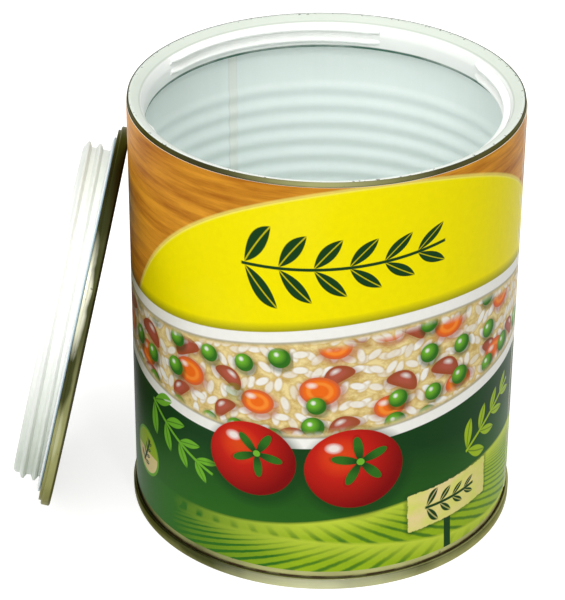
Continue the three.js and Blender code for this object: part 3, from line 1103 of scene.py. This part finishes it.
def bare_paper(name, colours):
    """The label's uncoated back and cut edges."""
    recipe = new_recipe(name)
    place = recipe.can_place()
    fibres = recipe.noise(recipe.stretched(place, (2400, 2400, 700)), 1, detail=4, roughness=0.7)
    tone = recipe.mix(fibres.above(0.5, 0.6) * 0.5, colours.white, colours.cream)
    return recipe.finish(
        Base_Color=tone,
        Roughness=fibres * 0.15 + 0.75,
        Normal=recipe.bump(fibres, 0.02 * MM),
    )


# The print's sizes are in millimetres.
PRINT_EDGE = 0.18  # blur of a printed edge
ARCH_RADIUS = 84  # the arch over the yellow field
BAND_RIM = 3  # width of the middle band's white rims


class Print:
    """The label's print, laid down layer over layer. Places are in millimetres across and up."""

    def __init__(self, recipe, around):
        self.recipe = recipe
        place = recipe.node("ShaderNodeUVMap", {"uv_map": "UVMap"}, {})
        across, up, _ = recipe.along(place)
        past_back = across.maths("LESS_THAN", across, -around / 2)
        self.across = across + past_back * around
        self.up = up
        self.round_place = self.on_round(around)
        self.tone = None

    def on_round(self, around):
        """The place on the label's round, which has no join at the back."""
        radius = around / FULL_TURN
        turn = self.across / radius
        aside = turn.sine() * radius
        forward = turn.maths("COSINE", turn) * radius
        return self.recipe.node("ShaderNodeCombineXYZ", {}, {0: aside, 1: forward, 2: self.up})

    def point(self):
        """The place on the print as a vector."""
        return self.recipe.node("ShaderNodeCombineXYZ", {}, {0: self.across, 1: self.up})

    def lay(self, mask, tone):
        """Print a colour where the mask is 1."""
        self.tone = self.recipe.mix(mask, self.tone, tone)

    def blend(self, factor, first, second):
        """A mix of two inks."""
        return self.recipe.mix(factor, first, second)

    def noise(self, scales, detail=3, roughness=0.55):
        """A cloudy number that is stretched across and up."""
        across, up = scales
        place = self.recipe.stretched(self.round_place, (across, across, up))
        return self.recipe.noise(place, 1, detail, roughness)

    def from_centre(self, across, up, tilt=0):
        """The place seen from a centre, turned by an angle."""
        x = self.across - across
        y = self.up - up
        cosine = math.cos(tilt)
        sine = math.sin(tilt)
        return x * cosine + y * sine, y * cosine - x * sine

    def wave(self, level, height, span, shift):
        """A wavy line across the label, as its height."""
        return (self.across * (1 / span) + shift).sine() * height + level

    def inside(self, depth, blur=PRINT_EDGE):
        """1 where a depth into a shape is above 0."""
        return depth.above(0, blur)


def print_upper_field(sheet, colours):
    """The yellow field under a wide arch, with grained orange corners above it."""
    grain = sheet.noise((0.035, 0.4), detail=4, roughness=0.62)
    warm = sheet.noise((0.03, 0.03), detail=2)
    grained = grain.above(0.54, 0.34) * 0.75 + warm.above(0.58, 0.3) * 0.4
    sheet.tone = sheet.blend(grained, colours.orange, colours.brown)
    x, y = sheet.from_centre(across=16, up=25)
    arch = ARCH_RADIUS - away_from(x, y)
    field = sheet.blend(warm.above(0.7, 0.4) * 0.08, colours.yellow, colours.pale_yellow)
    sheet.lay(sheet.inside(arch), field)
    sheet.lay(sheet.inside(0.5 - (arch + 0.2).size(), 0.5) * 0.6, colours.pale_yellow)


def band_bottom(sheet):
    """The wavy lower edge of the middle band."""
    return sheet.wave(level=41, height=4.5, span=31, shift=-1)


def print_lower_field(sheet, colours):
    """Dark green hills, and in front of them a sunny field with furrows."""
    far = band_bottom(sheet) + 0.5
    shadow = sheet.noise((0.02, 0.05), detail=2)
    dusk = (sheet.up.above(22, 24) * 0.85 + shadow.above(0.5, 0.6) * 0.3).kept()
    sheet.lay(sheet.inside(far - sheet.up), sheet.blend(dusk, colours.leaf_green, colours.ink_green))
    hill = sheet.wave(level=17, height=5, span=33, shift=-0.35)
    print_furrows(sheet, colours, hill, vanish_across=-28, vanish_up=36, rows=30)
    near = sheet.wave(level=5.5, height=4.5, span=27, shift=2.1)
    print_furrows(sheet, colours, near, vanish_across=64, vanish_up=30, rows=26)


def print_furrows(sheet, colours, hill, vanish_across, vanish_up, rows):
    """A hill whose furrows run towards a far point."""
    depth = hill - sheet.up
    lean = (sheet.across - vanish_across) / (vanish_up - sheet.up).higher(1)
    crop = sheet.noise((0.5, 0.5), detail=3) * 0.3
    row = (lean * rows + crop * 4).sine()
    dark = row.above(0.45, 0.9) * depth.above(3.5, 6)
    sun = depth.below(3, 6)
    crest = sheet.blend(sun, colours.field_green, colours.sun_green)
    patch = sheet.noise((0.03, 0.09), detail=3).above(0.5, 0.5)
    sides = sheet.across.below(-26, 44) + sheet.across.above(98, 50)
    shade = (dark * 0.7 + patch * 0.25 + sides).kept()
    sheet.lay(sheet.inside(depth, 0.9), sheet.blend(shade, crest, colours.leaf_green))


def print_band(sheet, colours):
    """The cream band between two white rims, strewn with rice, carrot slices, peas and beans."""
    top = sheet.wave(level=69, height=5, span=29, shift=0.5)
    depth = (top - sheet.up).lower(sheet.up - band_bottom(sheet))
    crumbs = sheet.noise((0.3, 0.42), detail=4, roughness=0.65)
    sauce = sheet.blend(crumbs.above(0.54, 0.24) * 0.85, colours.cream, colours.sauce)
    sheet.lay(sheet.inside(depth + 1.6, 2.4) * 0.55, colours.ink_green)
    sheet.lay(sheet.inside(depth), colours.white)
    sheet.lay(sheet.inside(depth - BAND_RIM, 0.5), colours.rim_shade)
    within = depth - BAND_RIM - 0.6
    sheet.lay(sheet.inside(within, 0.9), sauce)
    strew_grains(sheet, colours, within, seed=31)
    strew_grains(sheet, colours, within, seed=47)
    strew_beans(sheet, colours, within)
    strew_slices(sheet, colours, within)
    strew_peas(sheet, colours, within)


def strewn(sheet, spacing, seed):
    """Scattered centres: the place seen from the nearest one, and two random numbers of that one."""
    recipe = sheet.recipe
    shift = {0: sheet.point(), 1: (seed, seed * 1.7, 0)}
    shifted = recipe.node("ShaderNodeVectorMath", {"operation": "ADD"}, shift)
    inputs = {"Vector": shifted, "Scale": 1 / spacing, "Randomness": 0.42}
    chances, centre = recipe.wires(
        "ShaderNodeTexVoronoi", {"voronoi_dimensions": "2D"}, inputs, "Color", "Position"
    )
    offset = recipe.node("ShaderNodeVectorMath", {"operation": "SUBTRACT"}, {0: shifted, 1: centre})
    x, y, _ = recipe.along(offset)
    chance, other, _ = recipe.along(chances)
    return x, y, chance, other


def strew_grains(sheet, colours, within, seed):
    """Grains of rice: pale ovals that lie in all directions, with a soft shadow."""
    x, y, chance, paleness = strewn(sheet, 4.6, seed)
    lean = (chance * math.pi).sine()
    other = ((chance + 0.5) * math.pi).sine()
    along = x * lean + y * other
    across = y * lean - x * other
    away = away_from(along * 0.5, across)
    there = sheet.inside(within - 0.6, 1)
    sheet.lay(sheet.inside(1.25 - away, 0.5) * there * 0.5, colours.sauce)
    sheet.lay(sheet.inside(0.95 - away, 0.35) * there * (paleness * 0.5 + 0.5), colours.white)


def strew_slices(sheet, colours, within):
    """Carrot slices: an orange disc with a paler ring and core, and a soft shadow."""
    x, y, chance, size = strewn(sheet, spacing=17.5, seed=3)
    y = y * 1.25
    radius = size * 1.2 + 4
    away = away_from(x, y)
    chosen = chance.above(0.2, 0.01) * sheet.inside(within - 2.4, 2)
    shadow = sheet.inside(radius + 1 - away_from(x - 0.5, y + 0.7), 1.6)
    sheet.lay(shadow * chosen * 0.6, colours.bean)
    ring = sheet.inside(0.55 - (away - radius * 0.55).size(), 0.6)
    flesh = sheet.blend(ring * 0.6, colours.carrot, colours.carrot_light)
    flesh = sheet.blend(sheet.inside(away - radius + 0.8, 0.8) * 0.5, flesh, colours.bean)
    gleam = sheet.inside(1.1 - away_from(x + radius * 0.4, y * 1.28 - radius * 0.5), 1.2)
    flesh = sheet.blend(gleam * 0.7, flesh, colours.white)
    sheet.lay(sheet.inside(radius - away) * chosen, flesh)


def strew_beans(sheet, colours, within):
    """Beans: long bent ovals with a gleam."""
    x, y, chance, tilt = strewn(sheet, spacing=14.5, seed=11)
    slant = tilt * 2 - 1
    along = x + y * slant
    across = y - x * slant + along * along * 0.06
    away = away_from(along * 0.62, across * 1.15)
    chosen = chance.above(0.09, 0.01) * sheet.inside(within - 1.4, 2)
    shadow = sheet.inside(3.7 - away_from(along * 0.62 - 0.2, across * 1.15 + 0.6), 1.4)
    sheet.lay(shadow * chosen * 0.5, colours.brown)
    gleam = sheet.inside(0.6 - away_from(along * 0.5, across - 1.1), 0.9)
    skin = sheet.blend(away.above(1.7, 1.6) * 0.55, colours.bean, colours.brown)
    skin = sheet.blend(gleam * 0.75, skin, colours.white)
    sheet.lay(sheet.inside(3.1 - away) * chosen, skin)


def strew_peas(sheet, colours, within):
    """Peas: shaded green balls with a gleam."""
    x, y, chance, size = strewn(sheet, spacing=9.8, seed=23)
    radius = size * 0.5 + 2.4
    away = away_from(x, y)
    chosen = chance.above(0.4, 0.01) * sheet.inside(within - 0.9, 2)
    shadow = sheet.inside(radius + 0.7 - away_from(x - 0.3, y + 0.6), 1.1)
    sheet.lay(shadow * chosen * 0.6, colours.ink_green)
    shaded = away_from(x + 0.7, y - 0.7)
    skin = sheet.blend(shaded.above(1.7, 1.8), colours.pea, colours.leaf_green)
    gleam = sheet.inside(0.55 - away_from(x + 0.75, y - 0.85), 0.5)
    skin = sheet.blend(gleam * 0.85, skin, colours.white)
    sheet.lay(sheet.inside(radius - away) * chosen, skin)


def sprig(sheet, across, up, tilt, pairs, step, bend):
    """A sprig: a bent stem with pairs of leaves on both sides of its middle, smaller towards its tip."""
    reach = pairs * step
    x, y = sheet.from_centre(across, up, tilt)
    y = y - x * x * bend
    within = sheet.inside(reach - x.size(), 0.4)
    growth = x * (0.45 / reach) + 1
    stem = sheet.inside(0.42 - y.size())
    beside = y.size() * growth
    between = ((x / step).part() - 0.12) * step
    along = (between + beside) * math.sqrt(0.5)
    aside = (beside - between) * math.sqrt(0.5)
    half = step * 0.62
    from_middle = (along - half) / half
    from_vein = (aside - step * 0.04).size()
    leaf = (1 - from_middle * from_middle) * (step * 0.2) - from_vein
    vein = sheet.inside(0.14 - from_vein, 0.16)
    return (sheet.inside(leaf) * (1 - vein * 0.6)).higher(stem) * within


def print_tomato(sheet, colours, across, up, radius, tilt):
    """A ripe tomato seen from above: a shaded red ball with a green star and a gleam."""
    x, y = sheet.from_centre(across, up)
    away = away_from(x, y * 1.08)
    shadow = sheet.inside(radius + 1.6 - away_from(x - 0.8, y * 1.08 + 1.4), 3)
    sheet.lay(shadow * 0.65, colours.ink_green)
    shaded = away_from(x + radius * 0.28, y - radius * 0.3)
    skin = sheet.blend((shaded / (radius * 1.25)).above(0.62, 0.75), colours.red, colours.deep_red)
    skin = sheet.blend(sheet.inside(radius * 0.3 - shaded, radius * 0.45) * 0.35, skin, colours.carrot)
    gleam = sheet.inside(radius * 0.1 - away_from((x + radius * 0.42) * 0.7, y - radius * 0.5), 1)
    skin = sheet.blend(gleam * 0.85, skin, colours.white)
    sheet.lay(sheet.inside(radius - away), skin)
    print_star(sheet, colours, across + radius * 0.12, up + radius * 0.16, reach=radius * 0.62, tilt=tilt)


def print_star(sheet, colours, across, up, reach, tilt):
    """The green star on a tomato: five pointed leaves round a stalk."""
    x, y = sheet.from_centre(across, up, tilt)
    away = away_from(x, y)
    turn = x.maths("ARCTAN2", y, x)
    point = (turn * 2.5).sine().size() ** 2.4
    edge = point * (reach * 0.8) + reach * 0.16
    sheet.lay(sheet.inside(edge + 0.5 - away, 1) * 0.5, colours.deep_red)
    green = sheet.blend((away / reach).above(0.35, 0.5), colours.ink_green, colours.leaf_green)
    sheet.lay(sheet.inside(edge - away), green)
    sheet.lay(sheet.inside(reach * 0.13 - away), colours.pea)


def rounded_plate(x, y, half_width, half_height, rounding):
    """How deep a place, seen from the middle of a rectangle with rounded corners, lies in it."""
    beyond_x = (x.size() - (half_width - rounding)).higher(0)
    beyond_y = (y.size() - (half_height - rounding)).higher(0)
    return rounding - away_from(beyond_x, beyond_y)


def print_tag(sheet, colours):
    """A plain paper tag on a stake in the field, with a small sprig drawn on it."""
    ragged = sheet.noise((0.9, 0.9), detail=3) * 1.1 - 0.5
    x, y = sheet.from_centre(across=37, up=15, tilt=0.05)
    depth = rounded_plate(x, y, half_width=13.5, half_height=5.6, rounding=0.6) + ragged
    x, y = sheet.from_centre(across=36, up=7, tilt=0.05)
    stake = (1.1 - x.size()).lower(8 - y.size())
    sheet.lay(sheet.inside(stake), colours.ink_green)
    sheet.lay(sheet.inside(depth + 0.8, 1) * 0.45, colours.ink_green)
    clouds = sheet.noise((0.09, 0.14), detail=3).above(0.52, 0.3)
    sheet.lay(sheet.inside(depth), sheet.blend(clouds * 0.7, colours.cream, colours.sun_green))
    sheet.lay(sprig(sheet, 37, 15, tilt=0.05, pairs=2, step=4.2, bend=0.004), colours.ink_green)


def print_badge(sheet, colours):
    """A small pale roundel with one sprig, low on the left."""
    x, y = sheet.from_centre(across=-56, up=17)
    away = away_from(x, y)
    sheet.lay(sheet.inside(7 - away), colours.pea)
    sheet.lay(sheet.inside(6.2 - away), colours.cream)
    sheet.lay(sheet.inside(6.2 - away) * sheet.inside(y, 0.2), colours.field_green)
    sheet.lay(sprig(sheet, -56, 17, tilt=1.1, pairs=2, step=2.3, bend=0.01), colours.ink_green)


def print_back(sheet, colours, around):
    """A cream panel at the back, with a green heading and ruled lines."""
    from_back = around / 2 - sheet.across.size()
    depth = rounded_plate(from_back, sheet.up - 54, half_width=20, half_height=39, rounding=3)
    sheet.lay(sheet.inside(depth + 0.8), colours.leaf_green)
    sheet.lay(sheet.inside(depth), colours.cream)
    ruled = ((sheet.up / 6).part() - 0.5).size()
    line = sheet.inside(0.035 - ruled, 0.03) * sheet.inside(depth - 1.6)
    sheet.lay(line * 0.75, colours.ink_green)
    heading = (7 - (sheet.up - 84).size()).lower(depth - 2)
    sheet.lay(sheet.inside(heading), colours.leaf_green)


def label_print(name, colours, around):
    """The label's print under a clear gloss coat."""
    recipe = new_recipe(name)
    sheet = Print(recipe, around)
    print_upper_field(sheet, colours)
    print_lower_field(sheet, colours)
    print_band(sheet, colours)
    sheet.lay(sprig(sheet, 6, 88, tilt=0.08, pairs=3, step=8.5, bend=0.002), colours.ink_green)
    sheet.lay(sprig(sheet, -40, 29, tilt=-0.5, pairs=2, step=6.5, bend=0.006), colours.pea)
    sheet.lay(sprig(sheet, 52, 33, tilt=0.5, pairs=2, step=6, bend=-0.006), colours.field_green)
    print_tomato(sheet, colours, -17, 32, radius=11.5, tilt=0.4)
    print_tomato(sheet, colours, 9, 31, radius=12.5, tilt=1.1)
    print_tag(sheet, colours)
    print_badge(sheet, colours)
    print_back(sheet, colours, around)
    fibres = sheet.noise((3, 3), detail=3, roughness=0.6)
    waves = sheet.noise((0.05, 0.02), detail=2)
    mottle = sheet.noise((0.6, 0.6), detail=3, roughness=0.6)
    tone = recipe.mix(mottle.above(0.6, 0.5) * 0.05, sheet.tone, colours.ink_green)
    return recipe.finish(
        Base_Color=tone,
        Roughness=fibres * 0.12 + 0.3,
        Specular_IOR_Level=0.03,
        Normal=recipe.bump(fibres * 0.1 + waves, 0.06 * MM),
    )


# Operators


class PieceOperator:
    """What the operators of the pieces share."""

    bl_options = {"REGISTER", "UNDO"}

    @staticmethod
    def sizes(context):
        """The settings, the can's sizes and the layers of its seams."""
        settings = context.scene.can_safe
        return settings, settings.can, Layers(settings.can)


class CANSAFE_OT_body(PieceOperator, bpy.types.Operator):
    """Model the beaded body: one sheet from its folded bottom edge to its cut top edge"""

    bl_idname = "cansafe.body"
    bl_label = "Beaded body"

    def execute(self, context):
        settings, can, layers = self.sizes(context)
        hook = body_hook_line(can, layers, can.seam_height)
        line = [*hook, *bead_line(can, layers), (layers.wall, layers.cut_edge, 0)]
        tinplate = bare_tinplate("body_tinplate", settings, on_lid=False)
        materials = [tinplate, inside_lacquer("inside_lacquer", settings), tinplate]
        outer_point = (layers.wall, layers.cut_edge)
        piece = turned_sheet("beaded_body", line, can.plate, can.segments, outer_point, materials)
        hand_over(piece, "can_body", "can")
        return {"FINISHED"}


class CANSAFE_OT_ends(PieceOperator, bpy.types.Operator):
    """Model the bottom end and the lid's end: pressed panels with their seams"""

    bl_idname = "cansafe.ends"
    bl_label = "Seamed ends"

    def execute(self, context):
        settings, can, layers = self.sizes(context)
        line = end_line(can, layers, can.seam_height)
        middle = can.seam_height / 2
        tinplate = bare_tinplate("bottom_tinplate", settings, on_lid=False)
        lacquer = inside_lacquer("bottom_lacquer", settings)
        materials = [tinplate, lacquer, tinplate]
        bottom = turned_sheet(
            "seamed_bottom", line, can.plate, can.segments, (layers.seam, middle), materials
        )
        hand_over(bottom, "bottom_end", "can")
        line = end_line(can, layers, can.lid_seam_height)
        materials = [bare_tinplate("lid_tinplate", settings, on_lid=True)] * 3
        outer_point = (layers.seam, can.height - can.lid_seam_height / 2)
        top = turned_sheet(
            "seamed_top", from_top(can, line), can.plate, can.segments, outer_point, materials
        )
        hand_over(top, "lid_end", "lid")
        return {"FINISHED"}


class CANSAFE_OT_stub(PieceOperator, bpy.types.Operator):
    """Model the cut-off edge of the body that stays in the lid's seam"""

    bl_idname = "cansafe.stub"
    bl_label = "Cut-off stub"

    def execute(self, context):
        settings, can, layers = self.sizes(context)
        line = [*body_hook_line(can, layers, can.lid_seam_height), (layers.wall, can.seam_height, 0)]
        materials = [bare_tinplate("stub_tinplate", settings, on_lid=True)] * 3
        outer_point = (layers.wall, can.height - can.seam_height)
        piece = turned_sheet(
            "cut_off_stub", from_top(can, line), can.plate, can.segments, outer_point, materials
        )
        hand_over(piece, "lid_seam_stub", "lid")
        return {"FINISHED"}


class CANSAFE_OT_compounds(PieceOperator, bpy.types.Operator):
    """Model the sealing compound in both seams"""

    bl_idname = "cansafe.compounds"
    bl_label = "Sealing compound"

    def execute(self, context):
        settings, can, layers = self.sizes(context)
        outline = compound_outline(can, layers, can.seam_height)
        bottom = turned_solid("bottom_seal", outline, closed=True, segments=can.segments)
        dress(bottom, [sealing_compound("bottom_compound", settings, on_lid=False)])
        hand_over(bottom, "bottom_seam_compound", "can")
        outline = compound_outline(can, layers, can.lid_seam_height)
        top = turned_solid("lid_seal", from_top(can, outline), closed=True, segments=can.segments)
        dress(top, [sealing_compound("lid_compound", settings, on_lid=True)])
        hand_over(top, "lid_seam_compound", "lid")
        return {"FINISHED"}


class CANSAFE_OT_label(PieceOperator, bpy.types.Operator):
    """Model the paper label: a flat sheet bent round the body and lapped over its own start"""

    bl_idname = "cansafe.label"
    bl_label = "Paper label"

    def execute(self, context):
        settings, can, layers = self.sizes(context)
        middle = can.radius + can.layer_gap + can.paper / 2
        turn = FULL_TURN + can.lap_angle
        sheet = flat_sheet(can, layers, middle * turn)
        measure_print(sheet, can, layers, middle)
        raise_lap(sheet, can, middle)
        paper = bare_paper("bare_paper", settings.label)
        around = FULL_TURN * middle / MM
        dress(sheet, [label_print("label_print", settings.label, around), paper, paper])
        thicken(sheet, can.paper)
        apply_modifier(sheet, "SIMPLE_DEFORM", deform_method="BEND", deform_axis="Z", angle=turn)
        settle_label(sheet, can, layers, middle)
        hand_over(sheet, "paper_label", "can")
        return {"FINISHED"}


def flat_sheet(can, layers, width):
    """The label as a flat upright grid, centred on the origin."""
    bpy.ops.object.select_all(action="DESELECT")
    bpy.ops.mesh.primitive_grid_add(
        x_subdivisions=can.label_columns, y_subdivisions=can.label_rows, size=1, calc_uvs=True
    )
    sheet = bpy.context.object
    sheet.name = "wrapped_label"
    sheet.scale = (width, layers.label_top - can.label_bottom, 1)
    sheet.rotation_euler.x = math.pi / 2
    set_in_place(sheet)
    return sheet


def measure_print(sheet, can, layers, middle):
    """Scale the sheet's UV map to millimetres, from the middle of the front and the lower edge."""
    turn = FULL_TURN + can.lap_angle
    height = layers.label_top - can.label_bottom
    front = 3 * math.pi / 2
    for corner in sheet.data.uv_layers.active.data:
        around = can.lap_start + turn * corner.uv.x
        corner.uv.x = (around - front) * middle / MM
        corner.uv.y = corner.uv.y * height / MM


def raise_lap(sheet, can, middle):
    """Lift the end of the flat sheet that laps over its start."""
    lap = can.lap_angle * middle
    left = min(point.co.x for point in sheet.data.vertices)
    start_editing()
    for reach in (lap + can.lap_slope, lap):
        select_points(sheet, lambda co: co.x < left + reach)
        bpy.ops.transform.translate(value=(0, -can.paper / 2, 0))
    stop_editing()


def settle_label(sheet, can, layers, middle):
    """Bring the bent label, whose front the bend left at the origin, round the Z axis."""
    free_edge = -math.pi / 2 - (FULL_TURN + can.lap_angle) / 2
    turn = Matrix.Rotation(can.lap_start - free_edge, 4, "Z")
    level = (layers.label_top + can.label_bottom) / 2
    sheet.matrix_world = turn @ Matrix.Translation((0, -middle, level))
    set_in_place(sheet)


class CANSAFE_OT_neck(PieceOperator, bpy.types.Operator):
    """Model the neck ring with its broken thread"""

    bl_idname = "cansafe.neck"
    bl_label = "Neck ring"

    def execute(self, context):
        settings, can, layers = self.sizes(context)
        neck = settings.neck
        lid = settings.lid
        outline = neck_outline(can, layers, neck)
        ring = turned_solid("threaded_neck", outline, closed=True, segments=can.segments)
        ridges = []
        for number in range(neck.ridges):
            start = neck.ridge_start - FULL_TURN / neck.gaps * number
            level = layers.cut_edge - neck.thread_drop
            crest = neck.bore - lid.thread_height
            ridges.append(thread_ridge("ridge", lid, neck.bore, crest, start, neck.ridge_arc, level))
        unite(ring, ridges)
        dress(ring, [neck_plastic("neck_plastic", settings)])
        hand_over(ring, "neck_ring", "can")
        return {"FINISHED"}


class CANSAFE_OT_plug(PieceOperator, bpy.types.Operator):
    """Model the lid's threaded plug"""

    bl_idname = "cansafe.plug"
    bl_label = "Threaded plug"

    def execute(self, context):
        settings, can, _ = self.sizes(context)
        lid = settings.lid
        places = PlugPlaces(can, settings.neck, lid)
        outline = from_top(can, plug_outline(lid, places))
        plug = turned_solid("threaded_plug", outline, closed=False, segments=can.segments)
        level = can.height - places.washer_bottom - lid.thread_drop
        ridge = thread_ridge("ridge", lid, places.root, places.crest, lid.thread_start, lid.thread_arc, level)
        unite(plug, [ridge])
        dress(plug, [plug_plastic("plug_plastic", settings)])
        hand_over(plug, "lid_plug", "lid")
        return {"FINISHED"}


class CANSAFE_OT_washer(PieceOperator, bpy.types.Operator):
    """Model the foam washer on the plug's neck"""

    bl_idname = "cansafe.washer"
    bl_label = "Foam washer"

    def execute(self, context):
        settings, can, _ = self.sizes(context)
        places = PlugPlaces(can, settings.neck, settings.lid)
        outline = from_top(can, washer_outline(settings.lid, places, can.cut_gap))
        piece = turned_solid("foam_washer", outline, closed=True, segments=can.segments)
        dress(piece, [washer_foam("washer_foam", settings)])
        hand_over(piece, "lid_washer", "washer")
        return {"FINISHED"}


class CANSAFE_OT_stage(PieceOperator, bpy.types.Operator):
    """Set the floor, the lamps and the camera"""

    bl_idname = "cansafe.stage"
    bl_label = "Stage"

    def execute(self, context):
        stage = context.scene.can_safe.stage
        lay_floor(stage)
        light_room(stage)
        hang_lamps(stage)
        set_camera(context.scene, stage)
        context.scene.view_settings.view_transform = "Standard"
        return {"FINISHED"}


def lay_floor(stage):
    """A plain pale floor that keeps the object's shadow."""
    bpy.ops.object.select_all(action="DESELECT")
    bpy.ops.mesh.primitive_plane_add(size=stage.floor_size)
    floor = bpy.context.object
    floor.name = "floor"
    recipe = new_recipe("pale_floor")
    paint = recipe.finish(
        Base_Color=[stage.floor_tone] * 3,
        Roughness=0.9,
        Specular_IOR_Level=0.1,
        Emission_Color=WHITE,
        Emission_Strength=recipe.seen_directly() * stage.floor_glow,
    )
    dress(floor, [paint])


def light_room(stage):
    """A world that is white where it is seen directly and gives soft grey light."""
    world = bpy.data.worlds.new("studio")
    bpy.context.scene.world = world
    recipe = Recipe(world)
    ends = {"Value": recipe.seen_directly(), "To Min": stage.room_light}
    recipe.finish("Background", Color=WHITE, Strength=recipe.node("ShaderNodeMapRange", {}, ends))


def hang_lamps(stage):
    """Large soft lamps near the camera, on the left and overhead, and a small one that metal shows."""
    hang_lamp(stage, "front_lamp", (-0.35, -1.5, 1.0), size=1.2, power=13.5, shows=False)
    hang_lamp(stage, "left_lamp", (-1.6, -0.4, 0.9), size=1.2, power=3, shows=False)
    hang_lamp(stage, "top_lamp", (0.08, -0.3, 1.9), size=1.4, power=17.5, shows=False)
    hang_lamp(stage, "flash", (0.37, -0.95, 1.08), size=0.12, power=1.6, shows=True)


def hang_lamp(stage, name, place, size, power, shows):
    """A square lamp that faces the middle of the object, and that glossy surfaces show or not."""
    lamp = bpy.data.lights.new(name, "AREA")
    lamp.shape = "SQUARE"
    lamp.size = size
    lamp.energy = power
    holder = bpy.data.objects.new(name, lamp)
    bpy.context.scene.collection.objects.link(holder)
    holder.location = place
    holder.visible_glossy = shows
    middle = Vector((0, 0, stage.lamp_aim))
    holder.rotation_euler = (middle - holder.location).to_track_quat("-Z", "Y").to_euler()


def set_camera(scene, stage):
    """The camera at the photograph's viewing angle."""
    aim = CAN_AXIS + Vector((-stage.aim_left, 0, stage.aim))
    level = math.cos(stage.elevation)
    away = Vector(
        (math.sin(stage.azimuth) * level, -math.cos(stage.azimuth) * level, math.sin(stage.elevation))
    )
    camera = bpy.data.cameras.new("camera")
    camera.sensor_fit = "HORIZONTAL"
    camera.sensor_width = 36
    camera.lens = stage.lens
    camera.clip_start = 0.01
    holder = bpy.data.objects.new("camera", camera)
    scene.collection.objects.link(holder)
    turn = (-away).to_track_quat("-Z", "Y").to_matrix().to_4x4()
    holder.matrix_world = (
        Matrix.Translation(aim + away * stage.distance) @ turn @ Matrix.Rotation(stage.roll, 4, "Z")
    )
    scene.camera = holder


PIECE_OPERATORS = (
    CANSAFE_OT_body,
    CANSAFE_OT_ends,
    CANSAFE_OT_stub,
    CANSAFE_OT_compounds,
    CANSAFE_OT_label,
    CANSAFE_OT_neck,
    CANSAFE_OT_washer,
    CANSAFE_OT_plug,
    CANSAFE_OT_stage,
)


class CANSAFE_PT_sidebar(bpy.types.Panel):
    """Lists the pieces of the can safe with their sizes and colours."""

    bl_label = "Can safe"
    bl_idname = "CANSAFE_PT_sidebar"
    bl_space_type = "VIEW_3D"
    bl_region_type = "UI"
    bl_category = "Can safe"

    def draw(self, context):
        settings = context.scene.can_safe
        for operator in PIECE_OPERATORS:
            self.layout.operator(operator.bl_idname)
        for group_name in settings.__annotations__:
            group = getattr(settings, group_name)
            box = self.layout.box()
            for name in group.__annotations__:
                box.prop(group, name)


CLASSES = (
    CanSizes,
    NeckSizes,
    LidSizes,
    Finishes,
    Marks,
    LabelColours,
    StageSettings,
    CanSafeSettings,
    *PIECE_OPERATORS,
    CANSAFE_PT_sidebar,
)


def register():
    """Register the classes and put the settings on the scene."""
    for known in CLASSES:
        bpy.utils.register_class(known)
    bpy.types.Scene.can_safe = PointerProperty(type=CanSafeSettings)


def unregister():
    """Take the settings and the classes away again."""
    del bpy.types.Scene.can_safe
    for known in reversed(CLASSES):
        bpy.utils.unregister_class(known)


def main():
    """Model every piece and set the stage."""
    register()
    bpy.ops.cansafe.body()
    bpy.ops.cansafe.ends()
    bpy.ops.cansafe.stub()
    bpy.ops.cansafe.compounds()
    bpy.ops.cansafe.label()
    bpy.ops.cansafe.neck()
    bpy.ops.cansafe.washer()
    bpy.ops.cansafe.plug()
    bpy.ops.cansafe.stage()


if __name__ == "__main__":
    main()
